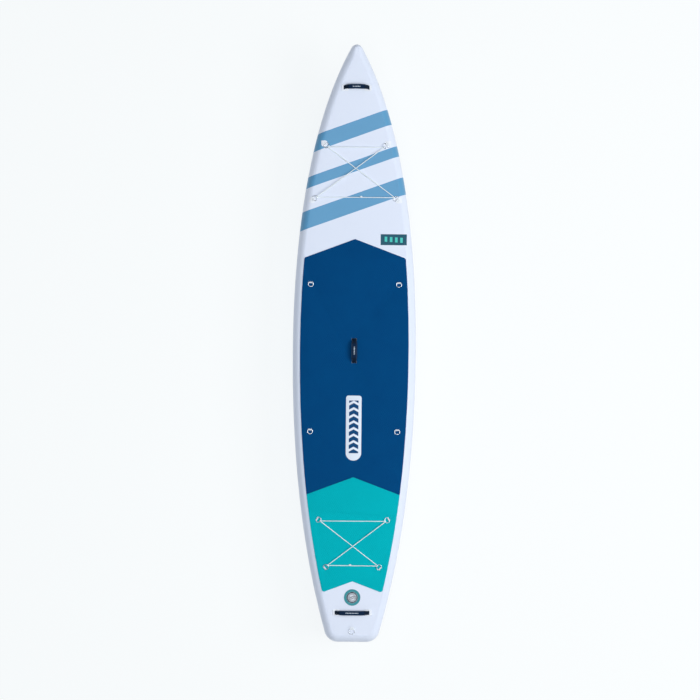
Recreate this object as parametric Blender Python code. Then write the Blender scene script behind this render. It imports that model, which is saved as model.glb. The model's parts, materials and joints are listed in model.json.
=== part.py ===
"""An inflatable touring stand up paddleboard with its fittings, each piece a closed solid.

Metres, +Z up. X runs across the board and +Y points to the nose. The origin is on the flat
bottom, halfway between nose and tail. Names with FROM_TAIL or FROM_NOSE are distances along
the board from that end.
"""

import math

import bmesh
import bpy
import numpy as np
from mathutils import Matrix, Vector

# Board
LENGTH = 3.810
WIDTH = 0.787
THICKNESS = 0.150
WIDEST_FROM_TAIL = 1.864
NOSE_RADIUS = 0.0388
NOSE_ANGLE = math.radians(29.4)
NOSE_FULLNESS = 0.538
FRONT_STRAIGHTNESS = 0.730
TAIL_RADIUS = 0.086
TAIL_ANGLE = math.radians(15.8)
TAIL_FLAT = 0.0905
TAIL_FULLNESS = 0.472
REAR_STRAIGHTNESS = 0.778
RAIL_BULGE = 0.052
ROCKER_LENGTH = 1.20
ROCKER_RISE = 0.125
ROCKER_POWER = 2.2

# Walls and clearances
SKIN = 0.0009
GAP = 0.0003
RING_PLAY = 0.0003
FACET_PLAY = 0.0004

# Deck pad
PAD_THICKNESS = 0.0045
PAD_INSET = 0.0470
PAD_SEAM = 0.0010
PAD_CORNER = 0.016
CHEVRON_SLOPE = 0.376
PAD_NOSE_FROM_NOSE = 1.232
PAD_SEAM_FROM_TAIL = 1.059
PAD_NOTCH_FROM_TAIL = 0.394

# D-rings and their webbing anchors
RING_WIDTH = 0.036
RING_HEIGHT = 0.031
RING_WIRE = 0.0045
RING_CORNER = 0.9            # bend of a ring's bar into its legs, in wire thicknesses
LEASH_RING_WIDTH = 0.041
LEASH_RING_HEIGHT = 0.036
LEASH_RING_WIRE = 0.005
WEBBING = 0.0012
ANCHOR_TAIL = 0.014
PATCH_THICKNESS = 0.0010
PATCH_RADIUS = 0.021
PATCH_POINT = 0.030
SEAT_RING_INSET = 0.101
SEAT_RING_BEHIND_SHOULDER = 0.171
SEAT_RING_AHEAD_OF_SEAM = 0.399
LEASH_RING_FROM_TAIL = 0.072

# Bungee nets
CORD = 0.005
CORD_LIFT = 0.00025
CORD_DRIFT = 0.0016
FRONT_FORE_RING_INSET = 0.077
FRONT_AFT_RING_INSET = 0.070
FRONT_NET_NEAR = 0.640
FRONT_NET_FAR = 0.972
REAR_RING_INSET = 0.1075
REAR_NET_NEAR = 0.4875
REAR_NET_FAR = 0.785
FRONT_KNOT_X = 0.035
REAR_KNOT_X = -0.015
KNOT_LENGTH = 0.024
KNOT_RADIUS = 0.0056

# Carry handles
NOSE_HANDLE_FROM_NOSE = 0.275
NOSE_HANDLE_SPAN = 0.152
NOSE_HANDLE_RISE = 0.030
NOSE_HANDLE_LEAN = math.radians(20)
TAIL_HANDLE_FROM_TAIL = 0.195
TAIL_HANDLE_SPAN = 0.209
TAIL_HANDLE_RISE = 0.034
CARRY_HANDLE_BEHIND_MIDDLE = 0.039
CARRY_HANDLE_SPAN = 0.143
CARRY_HANDLE_RISE = 0.034
STRAP_WIDTH = 0.025
STRAP_THICKNESS = 0.002
GRIP_WIDTH = 0.029
CARRY_GRIP_WIDTH = 0.038
GRIP_THICKNESS = 0.007
GRIP_END = 0.021
HANDLE_PATCH = (0.050, 0.042)
ARCH_POWER = 2.6

# Inflation valve
VALVE_FROM_TAIL = 0.291
VALVE_PATCH_RADIUS = 0.0525
VALVE_FLANGE_RADIUS = 0.0355
VALVE_FLANGE = 0.0030
VALVE_BODY_RADIUS = 0.021
VALVE_DEPTH = 0.042
VALVE_THROAT = 0.016
VALVE_SEAT = 0.012
VALVE_STEM = 0.003
VALVE_TRAVEL = 0.008
CAP_RADIUS = 0.027
CAP_THICKNESS = 0.0030
CAP_SKIRT = 0.0045
SPRING_RADIUS = 0.008
SPRING_WIRE = 0.0012
SPRING_TURNS = 4.5

# Fin and fin box
FIN_BOX_FROM_TAIL = 0.300
FIN_BOX_LENGTH = 0.250
FIN_BOX_WIDTH = 0.026
FIN_BOX_HEIGHT = 0.026
FIN_FLANGE_LENGTH = 0.300
FIN_FLANGE_WIDTH = 0.110
FIN_FLANGE = 0.0025
SLOT_LENGTH = 0.226
SLOT_WIDTH = 0.0096
SLOT_DEPTH = 0.022
GROOVE_WIDTH = 0.0150
GROOVE_HEIGHT = 0.0050
GROOVE_TOP = 0.0110
FIN_DEPTH = 0.205
FIN_CHORD = 0.150
FIN_TIP_CHORD = 0.052
FIN_SWEEP = 0.105
FIN_TAB = 0.018
SCREW_RADIUS = 0.002
SCREW_HEAD = 0.0042

TAIL_Y = -LENGTH / 2
NOSE_Y = LENGTH / 2
PAD_TOP = GAP + PAD_THICKNESS
PATCH_TOP = GAP + PATCH_THICKNESS
SLOT_PLAY = 0.001

# Colours, as sRGB triples with roughness and metallic
WHITE = ((0.84, 0.88, 0.95), 0.45, 0.0)
NAVY = ((0.0, 0.27, 0.475), 0.85, 0.0)
TEAL = ((0.0, 0.68, 0.71), 0.85, 0.0)
DARK = ((0.06, 0.12, 0.20), 0.8, 0.0)
CORD_WHITE = ((0.92, 0.95, 0.97), 0.7, 0.0)
STEEL = ((0.78, 0.80, 0.82), 0.25, 1.0)
VALVE_TEAL = ((0.20, 0.60, 0.64), 0.6, 0.0)
GREY = ((0.62, 0.66, 0.69), 0.5, 0.0)
BLACK = ((0.04, 0.045, 0.05), 0.5, 0.0)
BRASS = ((0.78, 0.62, 0.34), 0.3, 1.0)


def linear(value):
    return value / 12.92 if value <= 0.04045 else ((value + 0.055) / 1.055) ** 2.4


def finish(name, look):
    colour, roughness, metallic = look
    material = bpy.data.materials.new(name)
    material.use_nodes = True
    shader = material.node_tree.nodes["Principled BSDF"]
    shader.inputs["Base Color"].default_value = (*(linear(c) for c in colour), 1)
    shader.inputs["Roughness"].default_value = roughness
    shader.inputs["Metallic"].default_value = metallic
    return material


def mesh_of(bm, smooth=40):
    """The finished mesh of a bmesh: faces out, and smooth below the given angle in degrees."""
    bmesh.ops.remove_doubles(bm, verts=bm.verts, dist=1e-6)
    bmesh.ops.recalc_face_normals(bm, faces=bm.faces)
    mesh = bpy.data.meshes.new("piece")
    bm.to_mesh(mesh)
    bm.free()
    mesh.shade_smooth()
    mesh.set_sharp_from_angle(angle=math.radians(smooth))
    return mesh


def place(name, mesh, look, matrix=None):
    """One named piece of the board from a mesh, with its own material."""
    mesh = mesh.copy()
    mesh.name = name
    mesh.materials.clear()
    mesh.materials.append(finish(name, look))
    obj = bpy.data.objects.new(name, mesh)
    bpy.context.scene.collection.objects.link(obj)
    obj.matrix_world = matrix or Matrix()
    return obj


def combine(mesh, tool, operation):
    """The mesh after an exact Boolean with a second mesh."""
    pair = []
    for data in (mesh, tool):
        obj = bpy.data.objects.new("shaping", data)
        bpy.context.scene.collection.objects.link(obj)
        pair.append(obj)
    cut = pair[0].modifiers.new("cut", "BOOLEAN")
    cut.operation = operation
    cut.object = pair[1]
    bpy.context.view_layer.update()
    graph = bpy.context.evaluated_depsgraph_get()
    result = bpy.data.meshes.new_from_object(pair[0].evaluated_get(graph))
    for obj in pair:
        bpy.data.objects.remove(obj)
    return result


def prism(points, low, high):
    """A closed solid from a plan outline between two heights."""
    bm = bmesh.new()
    verts = [bm.verts.new((x, y, low)) for x, y in points]
    face = bm.faces.new(verts)
    made = bmesh.ops.extrude_face_region(bm, geom=[face])
    top = [v for v in made["geom"] if isinstance(v, bmesh.types.BMVert)]
    bmesh.ops.translate(bm, verts=top, vec=(0, 0, high - low))
    return bm


def rounded_box(size, centre, corner, low, high, steps=3):
    """A plan rectangle with round corners, as a solid between two heights."""
    half_x, half_y = size[0] / 2 - corner, size[1] / 2 - corner
    points = []
    for turn, (sx, sy) in enumerate(((1, 1), (-1, 1), (-1, -1), (1, -1))):
        for step in range(steps + 1):
            angle = math.pi / 2 * (turn + step / steps)
            points.append((
                centre[0] + sx * half_x + corner * math.cos(angle),
                centre[1] + sy * half_y + corner * math.sin(angle),
            ))
    return prism(points, low, high)


def turned(profile, steps=28):
    """A solid of revolution about Z from a closed profile of (radius, height) points."""
    bm = bmesh.new()
    verts = [bm.verts.new((r, 0, z)) for r, z in profile]
    edges = [bm.edges.new((a, b)) for a, b in zip(verts, verts[1:])]
    if profile[0][0] > 0:
        edges.append(bm.edges.new((verts[-1], verts[0])))
    bmesh.ops.spin(
        bm, geom=verts + edges, cent=(0, 0, 0), axis=(0, 0, 1),
        angle=2 * math.pi, steps=steps, use_merge=True,
    )
    return bm


def swept(sections, closed=False):
    """A skin over a row of like sections, with filled ends or joined into a loop."""
    bm = bmesh.new()
    rows = [[bm.verts.new(p) for p in section] for section in sections]
    pairs = list(zip(rows, rows[1:]))
    if closed:
        pairs.append((rows[-1], rows[0]))
    for a, b in pairs:
        for i in range(len(a)):
            j = (i + 1) % len(a)
            bm.faces.new((a[i], a[j], b[j], b[i]))
    if not closed:
        bm.faces.new(rows[0])
        bm.faces.new(rows[-1])
    return bm


def cylinder(radius, low, high, steps=20):
    return mesh_of(turned([(0, low), (radius, low), (radius, high), (0, high)], steps))


def box_mesh(x, y, z):
    """A plain box from three (low, high) pairs."""
    corners = [(x[0], y[0]), (x[1], y[0]), (x[1], y[1]), (x[0], y[1])]
    return mesh_of(prism(corners, *z))


# ------------------------------------------------------------------ the board's plan


def bezier(a, b, c, d, t):
    u = 1 - t
    return a * u**3 + b * (3 * u * u * t) + c * (3 * u * t * t) + d * t**3


def plan(nose_steps, front_steps, rear_steps, corner_steps):
    """The right half of the plan, nose to transom: points and outward normals."""
    centre = Vector((0, NOSE_Y - NOSE_RADIUS))
    points, normals = [], []
    for i in range(nose_steps + 1):
        angle = math.pi / 2 + (NOSE_ANGLE - math.pi / 2) * i / nose_steps
        normal = Vector((math.cos(angle), math.sin(angle)))
        points.append(centre + normal * NOSE_RADIUS)
        normals.append(normal)
    widest = Vector((WIDTH / 2, TAIL_Y + WIDEST_FROM_TAIL))
    corner = Vector((TAIL_FLAT, TAIL_Y + TAIL_RADIUS))
    tail_normal = Vector((math.cos(TAIL_ANGLE), -math.sin(TAIL_ANGLE)))
    tail_start = corner + tail_normal * TAIL_RADIUS
    along_nose = Vector((normals[-1].y, -normals[-1].x))
    along_tail = Vector((-tail_normal.y, tail_normal.x))
    front = (
        points[-1], points[-1] + along_nose * NOSE_FULLNESS,
        widest + Vector((0, FRONT_STRAIGHTNESS)), widest,
    )
    rear = (
        widest, widest - Vector((0, REAR_STRAIGHTNESS)),
        tail_start + along_tail * TAIL_FULLNESS, tail_start,
    )
    for curve, steps in ((front, front_steps), (rear, rear_steps)):
        for i in range(1, steps + 1):
            t = i / steps
            ahead = bezier(*curve, min(t + 1e-4, 1)) - bezier(*curve, t - 1e-4)
            points.append(bezier(*curve, t))
            normals.append(Vector((-ahead.y, ahead.x)).normalized())
    for i in range(1, corner_steps + 1):
        angle = -TAIL_ANGLE - (math.pi / 2 - TAIL_ANGLE) * i / corner_steps
        normal = Vector((math.cos(angle), math.sin(angle)))
        points.append(corner + normal * TAIL_RADIUS)
        normals.append(normal)
    return points, normals


FINE_POINTS, FINE_NORMALS = plan(20, 200, 200, 20)


def half_width(y, inset=0.0):
    """Half of the board's width at y, less an inset measured square to the edge."""
    moved = [p - n * inset for p, n in zip(FINE_POINTS, FINE_NORMALS)]
    ys = np.array([p.y for p in moved])[::-1]
    xs = np.array([p.x for p in moved])[::-1]
    return float(np.interp(y, ys, xs))


def rocker(y):
    """How far the bottom has risen at y."""
    along = max(0.0, y - (NOSE_Y - ROCKER_LENGTH)) / ROCKER_LENGTH
    return ROCKER_RISE * along**ROCKER_POWER


def fall(x, y):
    """How far the top of the hull lies below the flat deck at a place on the plan."""
    at = Vector((abs(x), y))
    nearest = min(range(len(FINE_POINTS)), key=lambda i: (FINE_POINTS[i] - at).length)
    edge, normal = FINE_POINTS[nearest], FINE_NORMALS[nearest]
    share = min(max(1 - (edge - at).dot(normal) / bulge(edge, normal), 0.0), 1.0)
    return THICKNESS / 2 * (1 - math.sqrt(1 - share * share))


def deck_frame(x, y, turn=0.0):
    """A frame on the deck: Z square to the deck, turned about it by an angle."""
    step = 1e-4
    slope = math.atan2(rocker(y + step) - rocker(y - step), 2 * step)
    lean = Matrix.Rotation(slope, 4, "X")
    lift = THICKNESS + rocker(y) + (FACET_PLAY if slope > 0 else 0)
    return Matrix.Translation((x, y, lift)) @ lean @ Matrix.Rotation(turn, 4, "Z")


# ------------------------------------------------------------------ hull

PLAN_POINTS, PLAN_NORMALS = plan(4, 18, 13, 5)
RAIL_STEPS = 8


def bulge(point, normal):
    """The rail's depth: full along the sides, less where the nose is too narrow for it."""
    if normal.x < 1e-6:
        reach = NOSE_RADIUS if point.y > 0 else 1.0
    else:
        reach = point.x / normal.x
    return min(RAIL_BULGE, 0.78 * reach)


def rail_row(point, normal, inset):
    """Points down the rail at one place on the plan, from deck seam to bottom seam."""
    depth = bulge(point, normal)
    row = []
    for i in range(RAIL_STEPS + 1):
        angle = math.pi / 2 - math.pi * i / RAIL_STEPS
        inward = inset + (depth - inset) * (1 - math.cos(angle))
        at = point - normal * inward
        height = THICKNESS / 2 + (THICKNESS / 2 - inset) * math.sin(angle)
        row.append(Vector((at.x, at.y, height + rocker(at.y))))
    return row


def mirrored(point):
    return Vector((-point.x, *point[1:]))


def strip(bm, ahead, behind):
    """Triangles between two like rows, split the same way on every wall of the board."""
    for i in range(len(ahead) - 1):
        bm.faces.new((ahead[i], ahead[i + 1], behind[i + 1]))
        bm.faces.new((ahead[i], behind[i + 1], behind[i]))


def make_core():
    """The drop-stitch core, with a pocket for the valve."""
    inset = SKIN + GAP
    right = [rail_row(p, n, inset) for p, n in zip(PLAN_POINTS, PLAN_NORMALS)]
    bm = bmesh.new()
    rows = [[bm.verts.new(p) for p in row] for row in right]
    other = rows[:1] + [[bm.verts.new(mirrored(p)) for p in row] for row in right[1:]]
    for side in (rows, other):
        for ahead, behind in zip(side, side[1:]):
            strip(bm, ahead, behind)
    strip(bm, rows[-1], other[-1])
    for end in (0, RAIL_STEPS):
        bm.faces.new((rows[0][end], rows[1][end], other[1][end]))
        for k in range(1, len(rows) - 1):
            bm.faces.new((rows[k][end], rows[k + 1][end], other[k + 1][end], other[k][end]))
    core = mesh_of(bm)
    nut_room = VALVE_BODY_RADIUS + 0.012
    stem_room = VALVE_DEPTH + VALVE_TRAVEL + 0.008
    room = VALVE_BODY_RADIUS + 0.001
    pocket = turned([
        (0, -stem_room), (room, -stem_room), (room, -0.011), (nut_room, -0.011),
        (nut_room, 0.002), (0, 0.002),
    ])
    bmesh.ops.translate(pocket, verts=pocket.verts, vec=(0, TAIL_Y + VALVE_FROM_TAIL, THICKNESS))
    return combine(core, mesh_of(pocket), "DIFFERENCE")


def make_rail():
    """The right rail strip, a curved wall that ends near the centreline at nose and tail."""
    points = [Vector((GAP / 2, NOSE_Y))] + PLAN_POINTS[1:] + [Vector((GAP / 2, TAIL_Y))]
    normals = PLAN_NORMALS + [PLAN_NORMALS[-1]]
    bm = bmesh.new()
    walls = []
    for inset in (0.0, SKIN):
        rows = [[bm.verts.new(v) for v in rail_row(p, n, inset)] for p, n in zip(points, normals)]
        for ahead, behind in zip(rows, rows[1:]):
            strip(bm, ahead, behind)
        walls.append(rows)
    outer, inner = walls
    for k in range(len(points) - 1):
        for end in (0, RAIL_STEPS):
            bm.faces.new((outer[k][end], outer[k + 1][end], inner[k + 1][end], inner[k][end]))
    for k in (0, -1):
        for i in range(RAIL_STEPS):
            bm.faces.new((outer[k][i], outer[k][i + 1], inner[k][i + 1], inner[k][i]))
    return mesh_of(bm)


def make_skin(low, high):
    """A flat skin between the rails' seams, following the rocker, between two heights."""
    bm = bmesh.new()
    levels = []
    for height in (low, high):
        right = []
        for point, normal in zip(PLAN_POINTS, PLAN_NORMALS):
            at = point - normal * (bulge(point, normal) + GAP)
            right.append(Vector((at.x, at.y, height + rocker(at.y))))
        rows = [bm.verts.new(p) for p in right]
        other = [bm.verts.new(mirrored(p)) for p in right[1:]]
        bm.faces.new((rows[0], rows[1], other[0]))
        for k in range(1, len(rows) - 1):
            bm.faces.new((rows[k], rows[k + 1], other[k], other[k - 1]))
        levels.append(rows + other[::-1])
    bottom, top = levels
    for i in range(len(bottom)):
        j = (i + 1) % len(bottom)
        bm.faces.new((bottom[i], bottom[j], top[j], top[i]))
    return mesh_of(bm)


def build_hull():
    place("drop_stitch_core", make_core(), WHITE)
    rail = make_rail()
    place("rail_right", rail, WHITE)
    left = rail.copy()
    left.transform(Matrix.Scale(-1, 4, (1, 0, 0)))
    left.flip_normals()
    place("rail_left", left, WHITE)
    hole = turned([
        (0, -0.01), (VALVE_BODY_RADIUS + GAP, -0.01), (VALVE_BODY_RADIUS + GAP, 0.01), (0, 0.01),
    ])
    bmesh.ops.translate(hole, verts=hole.verts, vec=(0, TAIL_Y + VALVE_FROM_TAIL, THICKNESS))
    deck = combine(make_skin(THICKNESS - SKIN, THICKNESS), mesh_of(hole), "DIFFERENCE")
    place("deck_skin", deck, WHITE)
    place("bottom_skin", make_skin(0, SKIN), WHITE)


# ------------------------------------------------------------------ places of the fittings


def on_edge(apex, inset=PAD_INSET):
    """Where a chevron that starts at an apex on the centreline meets the pad's side."""
    y = apex
    for _ in range(40):
        y = apex - CHEVRON_SLOPE * half_width(y, inset)
    return Vector((half_width(y, inset), y))


PAD_NOSE = NOSE_Y - PAD_NOSE_FROM_NOSE
SEAM = TAIL_Y + PAD_SEAM_FROM_TAIL
NOTCH = TAIL_Y + PAD_NOTCH_FROM_TAIL
SEAT_ROWS = {
    "front": on_edge(PAD_NOSE).y - SEAT_RING_BEHIND_SHOULDER,
    "rear": on_edge(SEAM).y + SEAT_RING_AHEAD_OF_SEAM,
}
CARRY_Y = -CARRY_HANDLE_BEHIND_MIDDLE
BAR_LIFT = RING_WIRE / 2 + RING_PLAY + WEBBING + 0.0003
CORD_TO_WIRE = (RING_WIRE + CORD) / 2 + 2 * GAP
BOW_LIFT = CORD_LIFT + CORD / 2 + CORD_TO_WIRE


def ring_reach(height, wire):
    """From the bar's centreline to the middle of the bow."""
    return height - wire


def stations():
    """Every D-ring: name, centre of its ring, heading of its bow, and what it stands on."""
    found = []
    for row, y in SEAT_ROWS.items():
        for side, sign in (("left", -1), ("right", 1)):
            x = sign * (half_width(y) - SEAT_RING_INSET)
            found.append((f"seat_ring_{row}_{side}", x, y, -math.pi / 2, "pad"))
    nets = {
        "front_bungee": (
            (NOSE_Y - FRONT_NET_NEAR, FRONT_FORE_RING_INSET),
            (NOSE_Y - FRONT_NET_FAR, FRONT_AFT_RING_INSET), "deck",
        ),
        "rear_bungee": (
            (TAIL_Y + REAR_NET_FAR, REAR_RING_INSET),
            (TAIL_Y + REAR_NET_NEAR, REAR_RING_INSET), "pad",
        ),
    }
    for net, (fore, aft, base) in nets.items():
        middle = (fore[0] + aft[0]) / 2
        for row, (y, inset) in (("fore", fore), ("aft", aft)):
            for side, sign in (("left", -1), ("right", 1)):
                x = sign * (half_width(y) - inset)
                heading = math.atan2(middle - y, -x)
                found.append((f"{net}_ring_{row}_{side}", x, y, heading, base))
    found.append(("leash_ring", 0.0, TAIL_Y + LEASH_RING_FROM_TAIL, -math.pi / 2, "deck"))
    return found


def ring_frame(name, x, y, heading, base):
    """The ring's own frame: origin on the middle of its bar, +Y to the bow."""
    leash = name == "leash_ring"
    reach = ring_reach(LEASH_RING_HEIGHT, LEASH_RING_WIRE) if leash else ring_reach(
        RING_HEIGHT, RING_WIRE)
    lift = (PAD_TOP if base == "pad" else PATCH_TOP) + BAR_LIFT
    lift += (LEASH_RING_WIRE - RING_WIRE) / 2 if leash else 0
    bar_x = x - math.cos(heading) * reach / 2
    bar_y = y - math.sin(heading) * reach / 2
    frame = deck_frame(bar_x, bar_y, heading - math.pi / 2)
    return frame @ Matrix.Translation((0, 0, lift))


def ring_tilt(name):
    """Bungee rings stand up a little, so that the cord passes under the bow."""
    if "bungee" not in name:
        return 0.0
    return math.asin((BOW_LIFT - BAR_LIFT) / ring_reach(RING_HEIGHT, RING_WIRE))


# ------------------------------------------------------------------ deck pad


def fillet(before, corner, after, radius, steps=6):
    """Points of the arc that rounds a corner between two straight runs."""
    a = (before - corner).normalized()
    b = (after - corner).normalized()
    half = a.angle(b) / 2
    start = corner + a * (radius / math.tan(half))
    centre = corner + (a + b).normalized() * (radius / math.sin(half))
    end = corner + b * (radius / math.tan(half))
    first = math.atan2(start.y - centre.y, start.x - centre.x)
    last = math.atan2(end.y - centre.y, end.x - centre.x)
    turn = (last - first + math.pi) % (2 * math.pi) - math.pi
    return [
        centre + Vector((math.cos(first + turn * i / steps), math.sin(first + turn * i / steps)))
        * radius
        for i in range(steps + 1)
    ]


def pad_outline(front_apex, rear_apex, round_front, round_rear, steps):
    """A pad's plan between two chevrons, its sides parallel to the rail."""
    shoulder, heel = on_edge(front_apex), on_edge(rear_apex)
    side = []
    margin = PAD_CORNER * 2
    top, low = shoulder.y - margin, heel.y + margin
    for i in range(steps + 1):
        y = top + (low - top) * i / steps
        side.append(Vector((half_width(y, PAD_INSET), y)))
    right = [Vector((0, front_apex))]
    right += fillet(right[0], shoulder, side[0], PAD_CORNER) if round_front else [shoulder]
    right += side
    notch = Vector((0, rear_apex))
    right += fillet(side[-1], heel, notch, PAD_CORNER) if round_rear else [heel]
    left = [mirrored(p) for p in right[::-1] if p.x > 0]
    return right + [notch] + left


def slot_for(x, y, heading, ahead, behind, width):
    """A cutter for a slot in the pad, in the frame of a fitting on the deck."""
    corners = [(-width / 2, -behind), (width / 2, -behind), (width / 2, ahead), (-width / 2, ahead)]
    cutter = prism(corners, -0.002, PAD_TOP + 0.003)
    cutter.transform(deck_frame(x, y, heading - math.pi / 2))
    return mesh_of(cutter)


def pad_slots(low, high):
    """Slots for the webbing of every fitting that stands in a pad between two heights of y."""
    slots = []
    for station in stations():
        if station[4] != "pad" or not low < station[2] < high:
            continue
        base = ring_frame(*station).translation
        loop = RING_WIRE / 2 + RING_PLAY + WEBBING
        slots.append(slot_for(base.x, base.y, station[3], loop + SLOT_PLAY,
                              ANCHOR_TAIL + SLOT_PLAY, anchor_width() + 2 * SLOT_PLAY))
    if low < CARRY_Y < high:
        for sign in (-1, 1):
            y = CARRY_Y + sign * CARRY_HANDLE_SPAN / 2
            reach = 0.007 + SLOT_PLAY
            slots.append(slot_for(0, y, math.pi / 2, reach, reach, carry_anchor_width() + 0.002))
    return slots


def anchor_width():
    """Webbing as wide as the straight part of the ring's bar."""
    return RING_WIDTH - RING_WIRE * (1 + 2 * RING_CORNER)


def carry_anchor_width():
    return STRAP_WIDTH + 0.006


def build_pads():
    front = pad_outline(PAD_NOSE, SEAM + PAD_SEAM / 2, True, False, 16)
    rear = pad_outline(SEAM - PAD_SEAM / 2, NOTCH, False, True, 8)
    for name, outline, look, low, high in (
        ("front_deck_pad", front, NAVY, SEAM, PAD_NOSE),
        ("rear_deck_pad", rear, TEAL, NOTCH, SEAM),
    ):
        mesh = mesh_of(prism([(p.x, p.y) for p in outline], THICKNESS + GAP, THICKNESS + PAD_TOP))
        for slot in pad_slots(low, high):
            mesh = combine(mesh, slot, "DIFFERENCE")
        place(name, mesh, look)


# ------------------------------------------------------------------ D-rings and anchors


def make_ring(width, height, wire, sides=6):
    """A D of round wire: its bar along X through the origin, its bow towards +Y."""
    half = (width - wire) / 2
    reach = ring_reach(height, wire)
    corner = wire * RING_CORNER
    path = []
    for sign in (1, -1):
        turn = [(half - corner + corner * math.sin(a), corner - corner * math.cos(a))
                for a in (0.0, math.pi / 4, math.pi / 2)]
        bow = [(half * math.cos(a), reach - half + half * math.sin(a))
               for a in (0.0, math.pi / 6, math.pi / 3)]
        half_path = [(sign * x, y) for x, y in turn + bow]
        path += half_path if sign > 0 else [(0.0, reach)] + half_path[::-1]
    sections = []
    count = len(path)
    for i in range(count):
        before, after = Vector(path[i - 1]), Vector(path[(i + 1) % count])
        ahead = (after - before).normalized()
        across = Vector((ahead.y, -ahead.x, 0))
        at = Vector((*path[i], 0))
        ring = []
        for k in range(sides):
            angle = 2 * math.pi * (k + 0.5) / sides
            ring.append(at + across * (wire / 2 * math.cos(angle))
                        + Vector((0, 0, wire / 2 * math.sin(angle))))
        sections.append(ring)
    return mesh_of(swept(sections, closed=True), 60)


def make_anchor(wire, width, lift, base):
    """Webbing folded round a ring's bar and stitched down behind it.

    The bar runs along X through the origin, and lift is its height above the deck skin.
    """
    inner = wire / 2 + RING_PLAY
    outer = inner + WEBBING
    low = (GAP if base == "pad" else GAP + PATCH_THICKNESS * 0.7) - lift
    tail_top = low + PATCH_THICKNESS + WEBBING
    hole = [(inner * math.cos(a), inner * math.sin(a))
            for a in (math.radians(30 * i) for i in range(12))]
    rim = [(outer * math.cos(a), outer * math.sin(a))
           for a in (math.radians(30 * i) for i in range(5))]
    if base == "pad":
        rim += [(-outer * 1.15, 0), (-ANCHOR_TAIL, tail_top), (-ANCHOR_TAIL, low)]
    else:
        rim += [(-outer * 1.4, 0.0002), (-ANCHOR_TAIL, tail_top), (-ANCHOR_TAIL, low)]
    rim += [(-outer, low), (0, low), (outer * 0.8, low), (outer, -inner * 0.6)]
    bm = bmesh.new()
    ends = []
    for x in (-width / 2, width / 2):
        ends.append((
            [bm.verts.new((x, y, z)) for y, z in rim],
            [bm.verts.new((x, y, z)) for y, z in hole],
        ))
    (rim_a, hole_a), (rim_b, hole_b) = ends
    for i in range(12):
        j = (i + 1) % 12
        bm.faces.new((rim_a[i], rim_a[j], hole_a[j], hole_a[i]))
        bm.faces.new((rim_b[i], rim_b[j], hole_b[j], hole_b[i]))
        bm.faces.new((rim_a[i], rim_a[j], rim_b[j], rim_b[i]))
        bm.faces.new((hole_a[i], hole_a[j], hole_b[j], hole_b[i]))
    return mesh_of(bm)


def make_patch(lift, frame):
    """A teardrop patch that follows the top of the hull, in the frame of the ring above it."""
    centre = Vector((0, -0.006))
    spread = math.radians(50)
    rim = []
    for i in range(19):
        angle = -math.pi / 2 + spread + (2 * math.pi - 2 * spread) * i / 18
        rim.append(centre + Vector((math.cos(angle), math.sin(angle))) * PATCH_RADIUS)
    first, last, tip = rim[0], rim[-1], centre - Vector((0, PATCH_POINT))
    rim += [last.lerp(tip, i / 4) for i in range(1, 4)] + [tip.lerp(first, i / 4) for i in range(4)]
    bm = bmesh.new()
    sides = []
    for level in (GAP, PATCH_TOP):
        rows = []
        for share in (0.0, 0.35, 0.7, 1.0):
            row = []
            for at in rim if share else rim[:1]:
                spot = centre + (at - centre) * share
                on_plan = frame @ Vector((*spot, 0))
                row.append(bm.verts.new((*spot, level - lift - fall(on_plan.x, on_plan.y))))
            rows.append(row)
        sides.append(rows)
    for i in range(len(rim)):
        j = (i + 1) % len(rim)
        for rows in sides:
            bm.faces.new((rows[0][0], rows[1][i], rows[1][j]))
            for inner, outer in zip(rows[1:], rows[2:]):
                bm.faces.new((inner[i], outer[i], outer[j]))
                bm.faces.new((inner[i], outer[j], inner[j]))
        low, high = sides[0][-1], sides[1][-1]
        bm.faces.new((low[i], low[j], high[j], high[i]))
    return mesh_of(bm)


def build_rings():
    shapes = {
        False: make_ring(RING_WIDTH, RING_HEIGHT, RING_WIRE),
        True: make_ring(LEASH_RING_WIDTH, LEASH_RING_HEIGHT, LEASH_RING_WIRE),
    }
    for station in stations():
        name, base = station[0], station[4]
        frame = ring_frame(*station)
        leash = name == "leash_ring"
        wire = LEASH_RING_WIRE if leash else RING_WIRE
        place(name, shapes[leash], STEEL, frame @ Matrix.Rotation(ring_tilt(name), 4, "X"))
        lift = (PAD_TOP if base == "pad" else PATCH_TOP) + BAR_LIFT + (wire - RING_WIRE) / 2
        anchor = make_anchor(wire, anchor_width(), lift, base)
        if base == "deck":
            anchor = combine(anchor, make_patch(lift, frame), "UNION")
        place(f"{name}_anchor", anchor, DARK if "seat" in name else WHITE, frame)


# ------------------------------------------------------------------ bungee nets


def net_places(net):
    """The bow of each ring of a net: its centre, its heading and the way up there."""
    places = {}
    for station in stations():
        name = station[0]
        if not name.startswith(net):
            continue
        frame = ring_frame(*station) @ Matrix.Rotation(ring_tilt(name), 4, "X")
        bow = frame @ Vector((0, ring_reach(RING_HEIGHT, RING_WIRE), 0))
        up = ring_frame(*station).to_3x3() @ Vector((0, 0, 1))
        inward = ring_frame(*station).to_3x3() @ Vector((0, 1, 0))
        places[name.rsplit("_ring_", 1)[1]] = (bow, inward, up)
    return places


def turn_round(place_, start, end, over_first):
    """Points of the cord as it turns round a ring's bow between two straight runs.

    One leg lies above the bow's wire and one below it, and between them the cord comes up
    through the ring's eye on a half circle.
    """
    bow, inward, up = place_
    points = []
    steps = 6
    for i in range(steps + 1):
        angle = math.pi * i / steps
        sign = 1 if over_first else -1
        side = inward.cross(up)
        drift = math.copysign(CORD_DRIFT, (start - end).dot(side)) * math.cos(angle)
        around = up * (sign * math.cos(angle)) - inward * math.sin(angle)
        points.append(bow + around * CORD_TO_WIRE + side * drift)
    return points


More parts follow.
